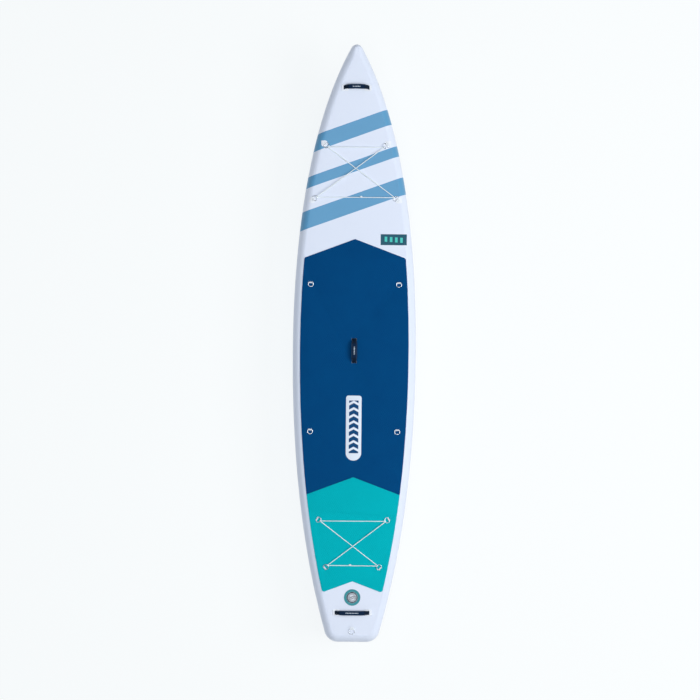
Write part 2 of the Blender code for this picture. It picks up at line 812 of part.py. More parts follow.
def net_route(net, knot_x):
    """The cord's way round a net, from one side of the knot to the other."""
    rings = net_places(net)
    order = ("aft_right", "fore_left", "fore_right", "aft_left")
    over_first = (True, False, False, True)
    bows = [rings[name][0] for name in order]
    half_gap = KNOT_LENGTH / 2 + GAP
    turns = []
    for i, name in enumerate(order):
        before = bows[i - 1] if i else bows[-1]
        after = bows[(i + 1) % 4]
        turns.append(turn_round(rings[name], before, after, over_first[i]))
    start, end = turns[0][0], turns[-1][-1]
    run = end - start
    knot_at = start + run * ((knot_x - start.x) / run.x)
    away = run.normalized()
    route = [knot_at - away * half_gap]
    for i, turn in enumerate(turns):
        route.append((route[-1] + turn[0]) / 2)
        route += turn
    route.append((route[-1] + knot_at + away * half_gap) / 2)
    route.append(knot_at + away * half_gap)
    return route, knot_at, away


def cord_object(name, points, look, radius, resolution=2):
    """A tube along a row of points, with filled ends."""
    curve = bpy.data.curves.new(name, "CURVE")
    curve.dimensions = "3D"
    curve.bevel_depth = radius
    curve.bevel_resolution = resolution
    curve.use_fill_caps = True
    spline = curve.splines.new("POLY")
    spline.points.add(len(points) - 1)
    for point, at in zip(spline.points, points):
        point.co = (*at, 1)
    curve.materials.append(finish(name, look))
    obj = bpy.data.objects.new(name, curve)
    bpy.context.scene.collection.objects.link(obj)
    return obj


def build_nets():
    for net, knot_x in (("front_bungee", FRONT_KNOT_X), ("rear_bungee", REAR_KNOT_X)):
        route, knot_at, away = net_route(net, knot_x)
        cord_object(net, route, CORD_WHITE, CORD / 2)
        half = KNOT_LENGTH / 2
        profile = [(0, -half), (KNOT_RADIUS * 0.62, -half * 0.86), (KNOT_RADIUS, -half * 0.35),
                   (KNOT_RADIUS, half * 0.35), (KNOT_RADIUS * 0.62, half * 0.86), (0, half)]
        turn = Vector((0, 0, 1)).rotation_difference(away).to_matrix().to_4x4()
        place(f"{net}_knot", mesh_of(turned(profile, 12)), CORD_WHITE,
              Matrix.Translation(knot_at) @ turn)


# ------------------------------------------------------------------ carry handles


def arch(span, rise, low, high, steps):
    """Centre points and upward normals of a strap's arch between two angles."""
    rows = []
    for i in range(steps + 1):
        angle = low + (high - low) * i / steps
        rows.append(Vector((
            span / 2 * math.copysign(abs(math.cos(angle)) ** (2 / ARCH_POWER), math.cos(angle)),
            rise * abs(math.sin(angle)) ** (2 / ARCH_POWER),
        )))
    normals = []
    for i, at in enumerate(rows):
        before, after = rows[max(i - 1, 0)], rows[min(i + 1, steps)]
        ahead = (after - before).normalized()
        normals.append(Vector((ahead.y, -ahead.x)))
    return rows, normals


def strap_section(at, normal, width, thickness, lean, foot, corner=0.0):
    """A strap's section, square to its arch and sheared sideways by the lean."""
    outline = []
    half_w, half_t = width / 2, thickness / 2
    if corner:
        shape = [(-half_w, -half_t + corner), (-half_w + corner, -half_t), (half_w - corner, -half_t),
                 (half_w, -half_t + corner), (half_w, half_t - corner), (half_w - corner, half_t),
                 (-half_w + corner, half_t), (-half_w, half_t - corner)]
    else:
        shape = [(-half_w, -half_t), (half_w, -half_t), (half_w, half_t), (-half_w, half_t)]
    for across, out in shape:
        x, z = at.x + normal.x * out, at.y + normal.y * out
        outline.append(Vector((x, across + z * math.tan(lean), z + foot)))
    return outline


def make_webbing(span, rise, width, lean, foot):
    rows, normals = arch(span, rise, 0.0, math.pi, 18)
    normals[0], normals[-1] = Vector((1, 0)), Vector((-1, 0))
    return mesh_of(swept([
        strap_section(at, normal, width, STRAP_THICKNESS, lean, foot)
        for at, normal in zip(rows, normals)
    ]), 30)


def make_grip(span, rise, width, strap, lean, foot):
    """A padded sleeve round the middle of the strap."""
    cosine = (1 - 2 * GRIP_END / span) ** (ARCH_POWER / 2)
    low = math.acos(cosine)
    rows, normals = arch(span, rise, low, math.pi - low, 12)
    bm = bmesh.new()
    rings = []
    for at, normal in zip(rows, normals):
        outer = strap_section(at, normal, width, GRIP_THICKNESS, lean, foot, GRIP_THICKNESS / 3)
        inner = strap_section(at, normal, strap + 2 * GAP, STRAP_THICKNESS + 2 * GAP, lean, foot, 0.0004)
        rings.append(([bm.verts.new(p) for p in outer], [bm.verts.new(p) for p in inner]))
    for (outer_a, inner_a), (outer_b, inner_b) in zip(rings, rings[1:]):
        for i in range(8):
            j = (i + 1) % 8
            bm.faces.new((outer_a[i], outer_a[j], outer_b[j], outer_b[i]))
            bm.faces.new((inner_a[i], inner_a[j], inner_b[j], inner_b[i]))
    for outer, inner in (rings[0], rings[-1]):
        for i in range(8):
            j = (i + 1) % 8
            bm.faces.new((outer[i], outer[j], inner[j], inner[i]))
    return mesh_of(bm, 50)


def build_handles():
    foot = PATCH_TOP + GAP
    handles = (
        ("nose_handle", NOSE_Y - NOSE_HANDLE_FROM_NOSE, NOSE_HANDLE_SPAN, NOSE_HANDLE_RISE,
         GRIP_WIDTH, STRAP_WIDTH, NOSE_HANDLE_LEAN, 0.0),
        ("tail_handle", TAIL_Y + TAIL_HANDLE_FROM_TAIL, TAIL_HANDLE_SPAN, TAIL_HANDLE_RISE,
         GRIP_WIDTH, STRAP_WIDTH, 0.0, 0.0),
        ("carry_handle", CARRY_Y, CARRY_HANDLE_SPAN, CARRY_HANDLE_RISE,
         CARRY_GRIP_WIDTH, carry_anchor_width() - 0.001, 0.0, math.pi / 2),
    )
    for name, y, span, rise, width, strap, lean, turn in handles:
        frame = deck_frame(0, y, turn)
        place(f"{name}_webbing", make_webbing(span, rise, strap, lean, foot), DARK, frame)
        place(f"{name}_grip", make_grip(span, rise, width, strap, lean, foot), DARK, frame)
        for side, sign in (("left", -1), ("right", 1)):
            if name == "carry_handle":
                side = "rear" if sign < 0 else "front"
                base = rounded_box((0.014, carry_anchor_width()), (sign * span / 2, 0), 0.001,
                                   GAP, PATCH_TOP, 1)
                look = DARK
            else:
                centre = (sign * (span / 2 - 0.004), 0)
                base = rounded_box(HANDLE_PATCH, centre, 0.012, GAP, PATCH_TOP)
                look = WHITE
            place(f"{name}_patch_{side}", mesh_of(base), look, frame)


# ------------------------------------------------------------------ inflation valve


def build_valve():
    frame = Matrix.Translation((0, TAIL_Y + VALVE_FROM_TAIL, THICKNESS))
    flange_top = GAP + VALVE_FLANGE
    ring_top = GAP + 0.0015
    place("valve_patch_ring", mesh_of(turned([
        (VALVE_PATCH_RADIUS, ring_top - 0.0005), (VALVE_PATCH_RADIUS, GAP),
        (VALVE_FLANGE_RADIUS + 0.001, GAP), (VALVE_FLANGE_RADIUS + 0.001, ring_top),
        (VALVE_PATCH_RADIUS - 0.001, ring_top),
    ], 36)), VALVE_TEAL, frame)

    wall = 0.004
    floor = -VALVE_DEPTH
    seat_top, seat_low = -0.015, -0.018
    place("valve_body", mesh_of(turned([
        (VALVE_FLANGE_RADIUS, flange_top - 0.001), (VALVE_FLANGE_RADIUS, GAP),
        (VALVE_BODY_RADIUS, GAP), (VALVE_BODY_RADIUS, floor),
        (VALVE_STEM + 2 * GAP, floor), (VALVE_STEM + 2 * GAP, floor + 0.003),
        (VALVE_BODY_RADIUS - wall, floor + 0.003), (VALVE_BODY_RADIUS - wall, seat_low),
        (VALVE_SEAT, seat_low), (VALVE_SEAT, seat_top),
        (VALVE_THROAT, seat_top), (VALVE_THROAT, flange_top),
        (VALVE_FLANGE_RADIUS - 0.002, flange_top),
    ])), GREY, frame)

    nut_top = -SKIN - GAP
    place("valve_nut", mesh_of(turned([
        (VALVE_BODY_RADIUS + 0.010, nut_top - 0.001), (VALVE_BODY_RADIUS + 0.010, nut_top - 0.006),
        (VALVE_BODY_RADIUS + GAP, nut_top - 0.006), (VALVE_BODY_RADIUS + GAP, nut_top),
        (VALVE_BODY_RADIUS + 0.009, nut_top),
    ])), GREY, frame)

    disc_top = seat_low - GAP
    disc_low = disc_top - 0.0027
    disc = VALVE_BODY_RADIUS - wall - 0.002
    stem_top = -0.003
    place("valve_plunger", mesh_of(turned([
        (0, stem_top), (VALVE_STEM + 0.002, stem_top), (VALVE_STEM + 0.002, stem_top - 0.003),
        (VALVE_STEM, stem_top - 0.003), (VALVE_STEM, disc_top), (disc, disc_top), (disc, disc_low),
        (VALVE_STEM, disc_low), (VALVE_STEM, floor - 0.004), (0, floor - 0.004),
    ][::-1], 20)), GREY, frame)

    low = floor + 0.003 + GAP + SPRING_WIRE / 2
    high = disc_low - GAP - SPRING_WIRE / 2
    count = int(SPRING_TURNS * 11)
    coil = []
    for i in range(count + 1):
        angle = 2 * math.pi * SPRING_TURNS * i / count
        coil.append(frame @ Vector((
            SPRING_RADIUS * math.cos(angle), SPRING_RADIUS * math.sin(angle),
            low + (high - low) * i / count,
        )))
    cord_object("valve_spring", coil, STEEL, SPRING_WIRE / 2, 0)

    cap_low = flange_top + GAP
    cap_top = cap_low + CAP_THICKNESS
    skirt = VALVE_THROAT - GAP * 1.5
    cap = mesh_of(turned([
        (0, cap_low + 0.001), (skirt - 0.002, cap_low + 0.001), (skirt - 0.002, cap_low - CAP_SKIRT),
        (skirt, cap_low - CAP_SKIRT), (skirt, cap_low), (CAP_RADIUS, cap_low),
        (CAP_RADIUS, cap_top - 0.001), (CAP_RADIUS - 0.001, cap_top), (0, cap_top),
    ]))
    bar = mesh_of(rounded_box((2 * CAP_RADIUS - 0.012, 0.009), (0, 0), 0.0035,
                              cap_top - 0.001, cap_top + 0.004, 2))
    place("valve_cap", combine(cap, bar, "UNION"), GREY, frame)

    hinge_y, hinge_z = tether_hinge()
    width = 0.009
    link = box_mesh((-width / 2, width / 2), (CAP_RADIUS + 2 * GAP, hinge_y),
                    (hinge_z - 0.0004, hinge_z + 0.0008))
    barrel = cylinder(0.0009, -width / 2, width / 2, 10)
    barrel.transform(Matrix.Translation((0, hinge_y, hinge_z)) @ Matrix.Rotation(math.pi / 2, 4, "Y"))
    place("valve_tether", combine(link, barrel, "UNION"), BLACK, frame)


def tether_hinge():
    """The tether's hinge line, ahead of the valve on its flange: y and z from the valve."""
    return VALVE_FLANGE_RADIUS - 0.0022, 2 * GAP + VALVE_FLANGE + 0.0009


# ------------------------------------------------------------------ fin box and fin


def foil(chord, thickness, lead, z):
    """A symmetric section: points round a fin's blade at one height."""
    outline = []
    for i in range(6):
        share = (i / 5) ** 1.6
        half = thickness * 1.5 * (math.sqrt(share) - share) if 0 < share < 1 else 0
        outline.append((half, share))
    right = [Vector((half + 0.0003, lead - chord * share, z)) for half, share in outline]
    return right + [mirrored(p) for p in right[::-1]]


def build_fin():
    y = TAIL_Y + FIN_BOX_FROM_TAIL
    frame = Matrix.Translation((0, y, -GAP))
    ridge = rounded_box((FIN_BOX_WIDTH, FIN_BOX_LENGTH), (0, 0), 0.010,
                        -FIN_BOX_HEIGHT, -FIN_FLANGE / 2, 4)
    flange = rounded_box((FIN_FLANGE_WIDTH, FIN_FLANGE_LENGTH), (0, 0), 0.030, -FIN_FLANGE, 0, 4)
    box = combine(mesh_of(ridge), mesh_of(flange), "UNION")
    slot = box_mesh((-SLOT_WIDTH / 2, SLOT_WIDTH / 2), (-SLOT_LENGTH / 2, SLOT_LENGTH / 2),
                    (-FIN_BOX_HEIGHT - 0.001, -FIN_BOX_HEIGHT + SLOT_DEPTH))
    groove = box_mesh((-GROOVE_WIDTH / 2, GROOVE_WIDTH / 2),
                      (-SLOT_LENGTH / 2 + 0.004, SLOT_LENGTH / 2 - 0.004),
                      (-GROOVE_TOP - GROOVE_HEIGHT, -GROOVE_TOP))
    box = combine(combine(box, slot, "DIFFERENCE"), groove, "DIFFERENCE")
    place("fin_box", box, WHITE, frame)

    root = -FIN_BOX_HEIGHT - 2 * GAP
    sections = []
    for i in range(9):
        share = i / 8
        chord = FIN_CHORD + (FIN_TIP_CHORD - FIN_CHORD) * share**1.15
        chord *= math.sqrt(max(1 - share**6, 0.15))
        lead = FIN_CHORD / 2 - FIN_SWEEP * share**1.5
        lead -= (FIN_TIP_CHORD / 3) * share**10
        sections.append(foil(chord, SLOT_WIDTH * 0.9 * (1 - 0.55 * share), lead, root - FIN_DEPTH * share))
    blade = mesh_of(swept(sections))
    tongue_half = SLOT_WIDTH / 2 - GAP
    tongue = box_mesh((-tongue_half, tongue_half), (-FIN_CHORD / 2 + 0.004, FIN_CHORD / 2 - FIN_TAB),
                      (root - 0.002, -FIN_BOX_HEIGHT + SLOT_DEPTH - 2 * GAP))
    tab = box_mesh((-tongue_half, tongue_half), (FIN_CHORD / 2 - FIN_TAB - 0.002, FIN_CHORD / 2 + 0.012),
                   (root - 0.0005, root + 0.004))
    pin = cylinder(GROOVE_HEIGHT / 2 - GAP, -GROOVE_WIDTH / 2 + GAP, GROOVE_WIDTH / 2 - GAP, 12)
    groove_middle = -GROOVE_TOP - GROOVE_HEIGHT / 2
    pin.transform(Matrix.Translation((0, -FIN_CHORD / 2 + 0.012, groove_middle))
                  @ Matrix.Rotation(math.pi / 2, 4, "Y"))
    fin = blade
    for piece in (tongue, tab, pin):
        fin = combine(fin, piece, "UNION")
    screw_y = FIN_CHORD / 2 + 0.004
    hole = cylinder(SCREW_RADIUS + GAP, root - 0.010, 0, 12)
    hole.transform(Matrix.Translation((0, screw_y, 0)))
    sink = cylinder(SCREW_HEAD + GAP, root - 0.012, root + 0.0008, 14)
    sink.transform(Matrix.Translation((0, screw_y, 0)))
    fin = combine(combine(fin, hole, "DIFFERENCE"), sink, "DIFFERENCE")
    place("fin", fin, BLACK, frame)

    nut_top = -GROOVE_TOP - GAP
    nut_low = -GROOVE_TOP - GROOVE_HEIGHT + GAP
    nut = box_mesh((-GROOVE_WIDTH / 2 + GAP, GROOVE_WIDTH / 2 - GAP),
                   (screw_y - 0.006, screw_y + 0.006), (nut_low, nut_top))
    bore = cylinder(SCREW_RADIUS + GAP, nut_low - 0.001, nut_top + 0.001, 12)
    bore.transform(Matrix.Translation((0, screw_y, 0)))
    place("fin_nut_plate", combine(nut, bore, "DIFFERENCE"), BRASS, frame)
    head_top = root + 0.0008 - GAP
    place("fin_screw", mesh_of(turned([
        (0, nut_top + 0.002), (SCREW_RADIUS, nut_top + 0.002), (SCREW_RADIUS, head_top),
        (SCREW_HEAD, head_top), (SCREW_HEAD, head_top - 0.0022), (0, head_top - 0.0022),
    ][::-1], 14)), BRASS, frame @ Matrix.Translation((0, screw_y, 0)))


for old in list(bpy.data.objects):
    bpy.data.objects.remove(old)
build_hull()
build_pads()
build_rings()
build_nets()
build_handles()
build_valve()
build_fin()
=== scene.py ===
import json
import math

import bmesh
import bpy
import numpy as np
from mathutils import Matrix, Vector


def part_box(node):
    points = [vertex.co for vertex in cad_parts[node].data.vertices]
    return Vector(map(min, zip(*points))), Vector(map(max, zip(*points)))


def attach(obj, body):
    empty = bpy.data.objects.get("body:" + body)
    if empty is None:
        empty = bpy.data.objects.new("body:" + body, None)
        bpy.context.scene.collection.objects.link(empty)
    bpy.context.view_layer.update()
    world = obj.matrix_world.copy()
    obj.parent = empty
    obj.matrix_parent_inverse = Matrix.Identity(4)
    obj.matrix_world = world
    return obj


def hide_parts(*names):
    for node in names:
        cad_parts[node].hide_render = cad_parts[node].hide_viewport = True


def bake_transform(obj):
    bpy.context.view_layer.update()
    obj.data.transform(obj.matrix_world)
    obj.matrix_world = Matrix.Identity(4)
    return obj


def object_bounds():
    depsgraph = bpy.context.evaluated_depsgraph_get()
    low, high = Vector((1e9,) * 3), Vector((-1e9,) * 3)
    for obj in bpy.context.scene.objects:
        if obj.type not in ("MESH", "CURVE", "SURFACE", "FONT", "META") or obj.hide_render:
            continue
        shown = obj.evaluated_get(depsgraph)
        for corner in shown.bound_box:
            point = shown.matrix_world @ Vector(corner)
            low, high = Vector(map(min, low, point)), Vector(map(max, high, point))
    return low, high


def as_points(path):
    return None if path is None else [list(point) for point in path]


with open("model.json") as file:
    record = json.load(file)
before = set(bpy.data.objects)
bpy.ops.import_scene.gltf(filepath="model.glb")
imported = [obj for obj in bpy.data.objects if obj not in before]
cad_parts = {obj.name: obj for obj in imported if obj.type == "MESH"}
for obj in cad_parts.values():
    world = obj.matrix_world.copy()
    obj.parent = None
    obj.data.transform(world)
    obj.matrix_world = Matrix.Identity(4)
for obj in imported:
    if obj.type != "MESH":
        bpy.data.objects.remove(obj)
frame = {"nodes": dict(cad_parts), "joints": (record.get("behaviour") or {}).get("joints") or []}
cad_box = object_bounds()
JOINTS = {joint["name"]: joint for joint in frame["joints"]}


# Studio: a pale seamless floor below the board, soft light from the board's right, and a camera
# straight above that looks down on the deck.
class Link:
    """A socket of a material, so that a pattern is written as a sum."""

    def __init__(self, look, socket):
        self.look, self.socket = look, socket

    def math(self, operation, *others):
        return self.look.node("Math", {"operation": operation}, dict(enumerate((self, *others))))

    def __add__(self, other):
        return self.math("ADD", other)

    def __sub__(self, other):
        return self.math("SUBTRACT", other)

    def __rsub__(self, other):
        return (self * -1.0) + other

    def __mul__(self, other):
        return self.math("MULTIPLY", other)

    def __truediv__(self, other):
        return self.math("DIVIDE", other)

    __radd__, __rmul__ = __add__, __mul__

    def ramp(self, low, high):
        """0 below low and 1 above high, with a smooth step between them."""
        settings = {"interpolation_type": "SMOOTHSTEP"}
        return self.look.node("MapRange", settings, {0: self, 1: low, 2: high})

    def between(self, low, high, soft):
        """1 between two values and 0 outside them."""
        return self.ramp(low - soft, low + soft) * (1.0 - self.ramp(high - soft, high + soft))

    def stripes(self, pitch, share, soft):
        """1 on a share of every pitch."""
        part = (self / pitch).math("FRACT")
        return part.between(0.5 - share / 2, 0.5 + share / 2, soft)


class Look:
    """A material built from nodes round one Principled shader."""

    def __init__(self, name, colour, roughness, metallic=0.0, **fixed):
        self.material = bpy.data.materials.new(name)
        self.material.use_nodes = True
        self.tree = self.material.node_tree
        self.shader = self.tree.nodes["Principled BSDF"]
        self.set("Base Color", colour)
        self.set("Roughness", roughness)
        self.set("Metallic", metallic)
        for socket, value in fixed.items():
            self.set(socket.replace("_", " "), value)

    def node(self, kind, settings, values, output=0):
        node = self.tree.nodes.new("ShaderNode" + kind)
        for key, value in settings.items():
            setattr(node, key, value)
        for socket, value in values.items():
            if isinstance(value, Link):
                self.tree.links.new(value.socket, node.inputs[socket])
            else:
                node.inputs[socket].default_value = value
        return Link(self, node.outputs[output])

    def set(self, socket, value):
        if isinstance(value, Link):
            self.tree.links.new(value.socket, self.shader.inputs[socket])
        elif isinstance(value, tuple) and len(value) == 3:
            self.shader.inputs[socket].default_value = (*value, 1.0)
        else:
            self.shader.inputs[socket].default_value = value

    def place(self, axis):
        """One Object coordinate, in metres."""
        whole = self.node("TexCoord", {}, {}, "Object")
        return self.node("SeparateXYZ", {}, {0: whole}, axis)

    def along(self, axis):
        """One coordinate of the piece's own UV map."""
        whole = self.node("UVMap", {}, {})
        return self.node("SeparateXYZ", {}, {0: whole}, axis)

    def noise(self, scale, detail=3.0):
        """Noise over Object coordinates, so many patches to the metre."""
        whole = self.node("TexCoord", {}, {}, "Object")
        return self.node("TexNoise", {}, {0: whole, 2: scale, 3: detail})

    def blend(self, share, low, high):
        """From one colour to another as share goes from 0 to 1."""
        ends = [c if isinstance(c, Link) else (*c, 1.0) for c in (low, high)]
        return self.node("Mix", {"data_type": "RGBA"}, {0: share, 6: ends[0], 7: ends[1]}, 2)

    def bump(self, height, strength, distance):
        self.set("Normal", self.node("Bump", {}, {"Strength": strength, "Distance": distance,
                                                  "Height": height}))


def paint(*srgb):
    """A colour given as it is seen, turned to the linear values that a shader takes."""
    return tuple(c / 12.92 if c <= 0.04045 else ((c + 0.055) / 1.055) ** 2.4 for c in srgb)


def dress(piece, look):
    piece.data.materials.clear()
    piece.data.materials.append(look.material)


def deselect():
    if bpy.context.mode != "OBJECT":
        bpy.ops.object.mode_set(mode="OBJECT")
    bpy.ops.object.select_all(action="DESELECT")


SCALE = 4.467                # height of the camera's view at the deck, in metres
LENS = 110.0
SENSOR = 36.0
VIEW_CENTRE = (-0.0274, -0.0350)
CAMERA_ROLL = math.radians(0.5)
FLOOR_DROP = 0.030

bpy.context.scene.view_settings.view_transform = "Standard"
camera = bpy.data.objects.new("camera", bpy.data.cameras.new("camera"))
camera.data.lens, camera.data.sensor_width = LENS, SENSOR
deck_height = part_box("deck_skin")[0][2]
camera.location = (*VIEW_CENTRE, SCALE * LENS / SENSOR + deck_height)
camera.rotation_euler = (0, 0, CAMERA_ROLL)
camera.data.clip_end = 200
bpy.context.scene.collection.objects.link(camera)
bpy.context.scene.camera = camera

deselect()
bpy.ops.mesh.primitive_plane_add(size=120, location=(0, 0, cad_box[0][2] - FLOOR_DROP))
floor = bpy.context.object
floor.name = "floor"
pale = Look("studio_floor", (0.12, 0.12, 0.12), 0.9)
pale.set("Emission Color", (0.93, 0.96, 0.97))
pale.set("Emission Strength", 0.885)
front = pale.node("NewGeometry", {}, {}, "Backfacing")
clear = pale.node("BsdfTransparent", {}, {})
shown = pale.node("MixShader", {}, {0: front, 1: Link(pale, pale.shader.outputs[0]), 2: clear})
pale.tree.links.new(shown.socket, pale.tree.nodes["Material Output"].inputs[0])
dress(floor, pale)

for name, at, size, power, colour in (
    ("key_light", (6.1, -0.4, 7.3), 5.0, 480.0, (1.0, 0.99, 0.97)),
    ("fill_light", (-7.0, -1.5, 8.0), 6.0, 12.0, (0.93, 0.96, 1.0)),
    ("top_light", (0.5, -0.8, 12.0), 7.0, 580.0, (0.98, 0.99, 1.0)),
):
    lamp = bpy.data.objects.new(name, bpy.data.lights.new(name, "AREA"))
    lamp.data.size, lamp.data.energy, lamp.data.color = size, power, colour
    lamp.location = at
    lamp.rotation_euler = (-Vector(at)).to_track_quat("-Z", "Y").to_euler()
    bpy.context.scene.collection.objects.link(lamp)
world = bpy.data.worlds.new("studio")
world.use_nodes = True
world.node_tree.nodes["Background"].inputs[0].default_value = (0.86, 0.92, 1.0, 1)
world.node_tree.nodes["Background"].inputs[1].default_value = 0.245
bpy.context.scene.world = world


# Bungee nets: 5 mm braided elastic cord, laced once round four D-rings as a bow tie and closed with
# an overhand knot in its aft run. The cord is stretched, so it runs straight from ring to ring.
CORD = 0.005
RING_WIRE = 0.0045
RING_REACH = 0.0265          # from a ring's bar to the middle of its bow
ROCKER_LENGTH, ROCKER_RISE, ROCKER_POWER = 1.20, 0.125, 2.2
THICKNESS = 0.150
LENGTH = cad_box[1][1] - cad_box[0][1]
NOSE_Y, TAIL_Y = LENGTH / 2, -LENGTH / 2
BOW_HEIGHT, BAR_HEIGHT = 0.0081, 0.00405
BOW_TILT = math.asin((BOW_HEIGHT - BAR_HEIGHT) / RING_REACH)
CORD_TO_WIRE = (RING_WIRE + CORD) / 2 + 0.0006               # between their middles at a bow
CORD_DRIFT = 0.0016          # how far a turn round a bow wanders along it
KNOT_GAP = 0.0123            # from a knot's middle to either end of the cord's long run
KNOT_SIZE, KNOT_HEIGHT = 0.0019, 0.0024
KNOT_OFFSET = 0.0028         # its loops lie to one side of the run
KNOT_OPENING = 0.62          # angle left out of the closed curve at either lead
LEAD_RISE = 0.0012
LEADS = ((KNOT_GAP, 0), (0.0095, 0.2), (0.0068, 0.8))        # distance out, share of the rise


def rocker(y):
    along = max(0.0, y - (NOSE_Y - ROCKER_LENGTH)) / ROCKER_LENGTH
    return ROCKER_RISE * along**ROCKER_POWER


def deck_slope(y):
    step = 1e-4
    return math.atan2(rocker(y + step) - rocker(y - step), 2 * step)


def joint_frame(name):
    """A fitting's own frame from its joint: X on the hinge, Y to the bow, Z square to the deck."""
    joint = JOINTS[name]
    at, across = Vector(joint["pos_m"]), Vector(joint["axis"])
    slope = deck_slope(at.y)
    up = Vector((0, -math.sin(slope), math.cos(slope)))
    turned = Matrix((across, up.cross(across), up)).transposed().to_4x4()
    return Matrix.Translation(at) @ turned


def grid(name, columns, rows, shape):
    """A grid primitive with its points moved to shape(u, v), u along it and v across it."""
    deselect()
    bpy.ops.mesh.primitive_grid_add(x_subdivisions=columns, y_subdivisions=rows, size=2)
    piece = bpy.context.object
    piece.name = piece.data.name = name
    for point in piece.data.vertices:
        point.co = shape((point.co.x + 1) / 2, (point.co.y + 1) / 2)
    return piece


def pick(*pieces):
    """Selects these pieces alone, the first of them active."""
    deselect()
    for piece in pieces:
        piece.select_set(True)
    bpy.context.view_layer.objects.active = pieces[0]


def edit(piece, *steps):
    """Runs edit mode operators on a whole mesh, each step a call."""
    pick(piece)
    bpy.ops.object.mode_set(mode="EDIT")
    bpy.ops.mesh.select_all(action="SELECT")
    for step in steps:
        step()
    bpy.ops.object.mode_set(mode="OBJECT")
    return piece


def merge():
    bpy.ops.mesh.remove_doubles(threshold=1e-6)


def fill():
    bpy.ops.mesh.fill_holes(sides=0)


def outwards():
    bpy.ops.mesh.select_all(action="SELECT")
    bpy.ops.mesh.normals_make_consistent(inside=False)


def smooth(piece, angle=40):
    pick(piece)
    bpy.ops.object.shade_smooth_by_angle(angle=math.radians(angle))
    return piece


def face_up(piece):
    """Turns over an open sheet that faces down."""
    if piece.data.polygons[0].normal.z < 0:
        edit(piece, lambda: bpy.ops.mesh.flip_normals())


def apply(piece, kind, **settings):
    """Adds a modifier and applies it."""
    pick(piece)
    modifier = piece.modifiers.new(kind, kind)
    for key, value in settings.items():
        setattr(modifier, key, value)
    bpy.ops.object.modifier_apply(modifier=modifier.name)
    return piece


def tube(name, path, radius, sides, closed=False):
    """Round stock bent along a path, with its UV map running along it and round it."""
    path = [Vector(p) for p in path]
    count = len(path)
    ahead = []
    for i in range(count):
        before = path[i - 1] if closed or i else path[0]
        after = path[(i + 1) % count] if closed or i < count - 1 else path[-1]
        ahead.append((after - before).normalized())
    side = ahead[0].orthogonal().normalized()
    sides_of = []
    for direction in ahead:
        side = (side - direction * side.dot(direction)).normalized()
        sides_of.append(side)

    def shape(u, v):
        i = round(u * (count if closed else count - 1)) % count
        angle = 2 * math.pi * v
        across = sides_of[i] * math.cos(angle) + ahead[i].cross(sides_of[i]) * math.sin(angle)
        return path[i] + across * radius

    piece = grid(name, count if closed else count - 1, sides, shape)
    return smooth(edit(piece, merge, fill, outwards), 50)


def smoothed(points, steps, closed=False):
    """Points along a Catmull-Rom curve through a row of points."""
    points = [Vector(p) for p in points]
    count = len(points)
    found = []
    for i in range(count if closed else count - 1):
        if closed:
            a, b, c, d = (points[(i + k) % count] for k in (-1, 0, 1, 2))
        else:
            a, b, c, d = (points[min(max(i + k, 0), count - 1)] for k in (-1, 0, 1, 2))
        for step in range(steps):
            t = step / steps
            found.append(0.5 * (2 * b + (c - a) * t + (2 * a - 5 * b + 4 * c - d) * t**2
                                + (3 * b - a - 3 * c + d) * t**3))
    return found if closed else found + [points[-1]]


def evenly(path, step):
    """The same line with its points a like distance apart."""
    path = [Vector(p) for p in path]
    runs = [(b - a).length for a, b in zip(path, path[1:])]
    count = max(4, round(sum(runs) / step))
    found, i, gone = [path[0]], 0, 0.0
    for k in range(1, count):
        want = sum(runs) * k / count
        while gone + runs[i] < want:
            gone += runs[i]
            i += 1
        found.append(path[i].lerp(path[i + 1], (want - gone) / runs[i]))
    return found + [path[-1]]


def cord_look(name, length):
    """Braided sheath: two sets of white yarn that cross along the cord."""
    look = Look(name, paint(0.92, 0.95, 0.97), 0.75)
    along, around = look.along("X") * length, look.along("Y")
    one = (along / 0.0035 + around * 4.0).math("FRACT").between(0.15, 0.85, 0.12)
    two = (along / 0.0035 - around * 4.0).math("FRACT").between(0.15, 0.85, 0.12)
    weave = one * 0.5 + two * 0.5
    look.set("Base Color", look.blend(weave, paint(0.87, 0.93, 0.945), paint(0.97, 0.995, 1.0)))
    look.set("Roughness", 0.82 - weave * 0.15)
    look.bump(weave, 0.6, 0.0006)
    return look


def net_route(net):
    """The cord's way from one side of the knot to the other, and the knot's middle and heading."""
    bows = {}
    for corner in ("aft_right", "fore_left", "fore_right", "aft_left"):
        ring = joint_frame(f"{net}_ring_{corner}_swing")
        bow = ring @ Matrix.Rotation(BOW_TILT, 4, "X") @ Vector((0, RING_REACH, 0))
        bows[corner] = (bow, ring.to_3x3() @ Vector((0, 1, 0)), ring.to_3x3() @ Vector((0, 0, 1)))
    order = list(bows)
    turns = []
    for i, corner in enumerate(order):
        bow, inward, up = bows[corner]
        before, after = bows[order[i - 1]][0], bows[order[(i + 1) % 4]][0]
        side = inward.cross(up)
        drift = math.copysign(CORD_DRIFT, (before - after).dot(side))
        sign = 1 if corner in ("aft_right", "aft_left") else -1
        turn = []
        for step in range(9):
            angle = math.pi * step / 8
            around = up * (sign * math.cos(angle)) - inward * math.sin(angle)
            turn.append(bow + around * CORD_TO_WIRE + side * drift * math.cos(angle))
        turns.append(turn)
    start, run = turns[0][0], turns[-1][-1] - turns[0][0]
    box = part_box(f"{net}_knot")
    knot_x = (box[0][0] + box[1][0]) / 2
    knot = start + run * ((knot_x - start.x) / run.x)
    away = run.normalized()
    route = [knot - away * KNOT_GAP]
    for turn in turns:
        straight = [route[-1].lerp(turn[0], k / 8) for k in range(1, 8)]
        route += straight + turn
    end = knot + away * KNOT_GAP
    route += [route[-1].lerp(end, k / 8) for k in range(1, 9)]
    return route, knot, away


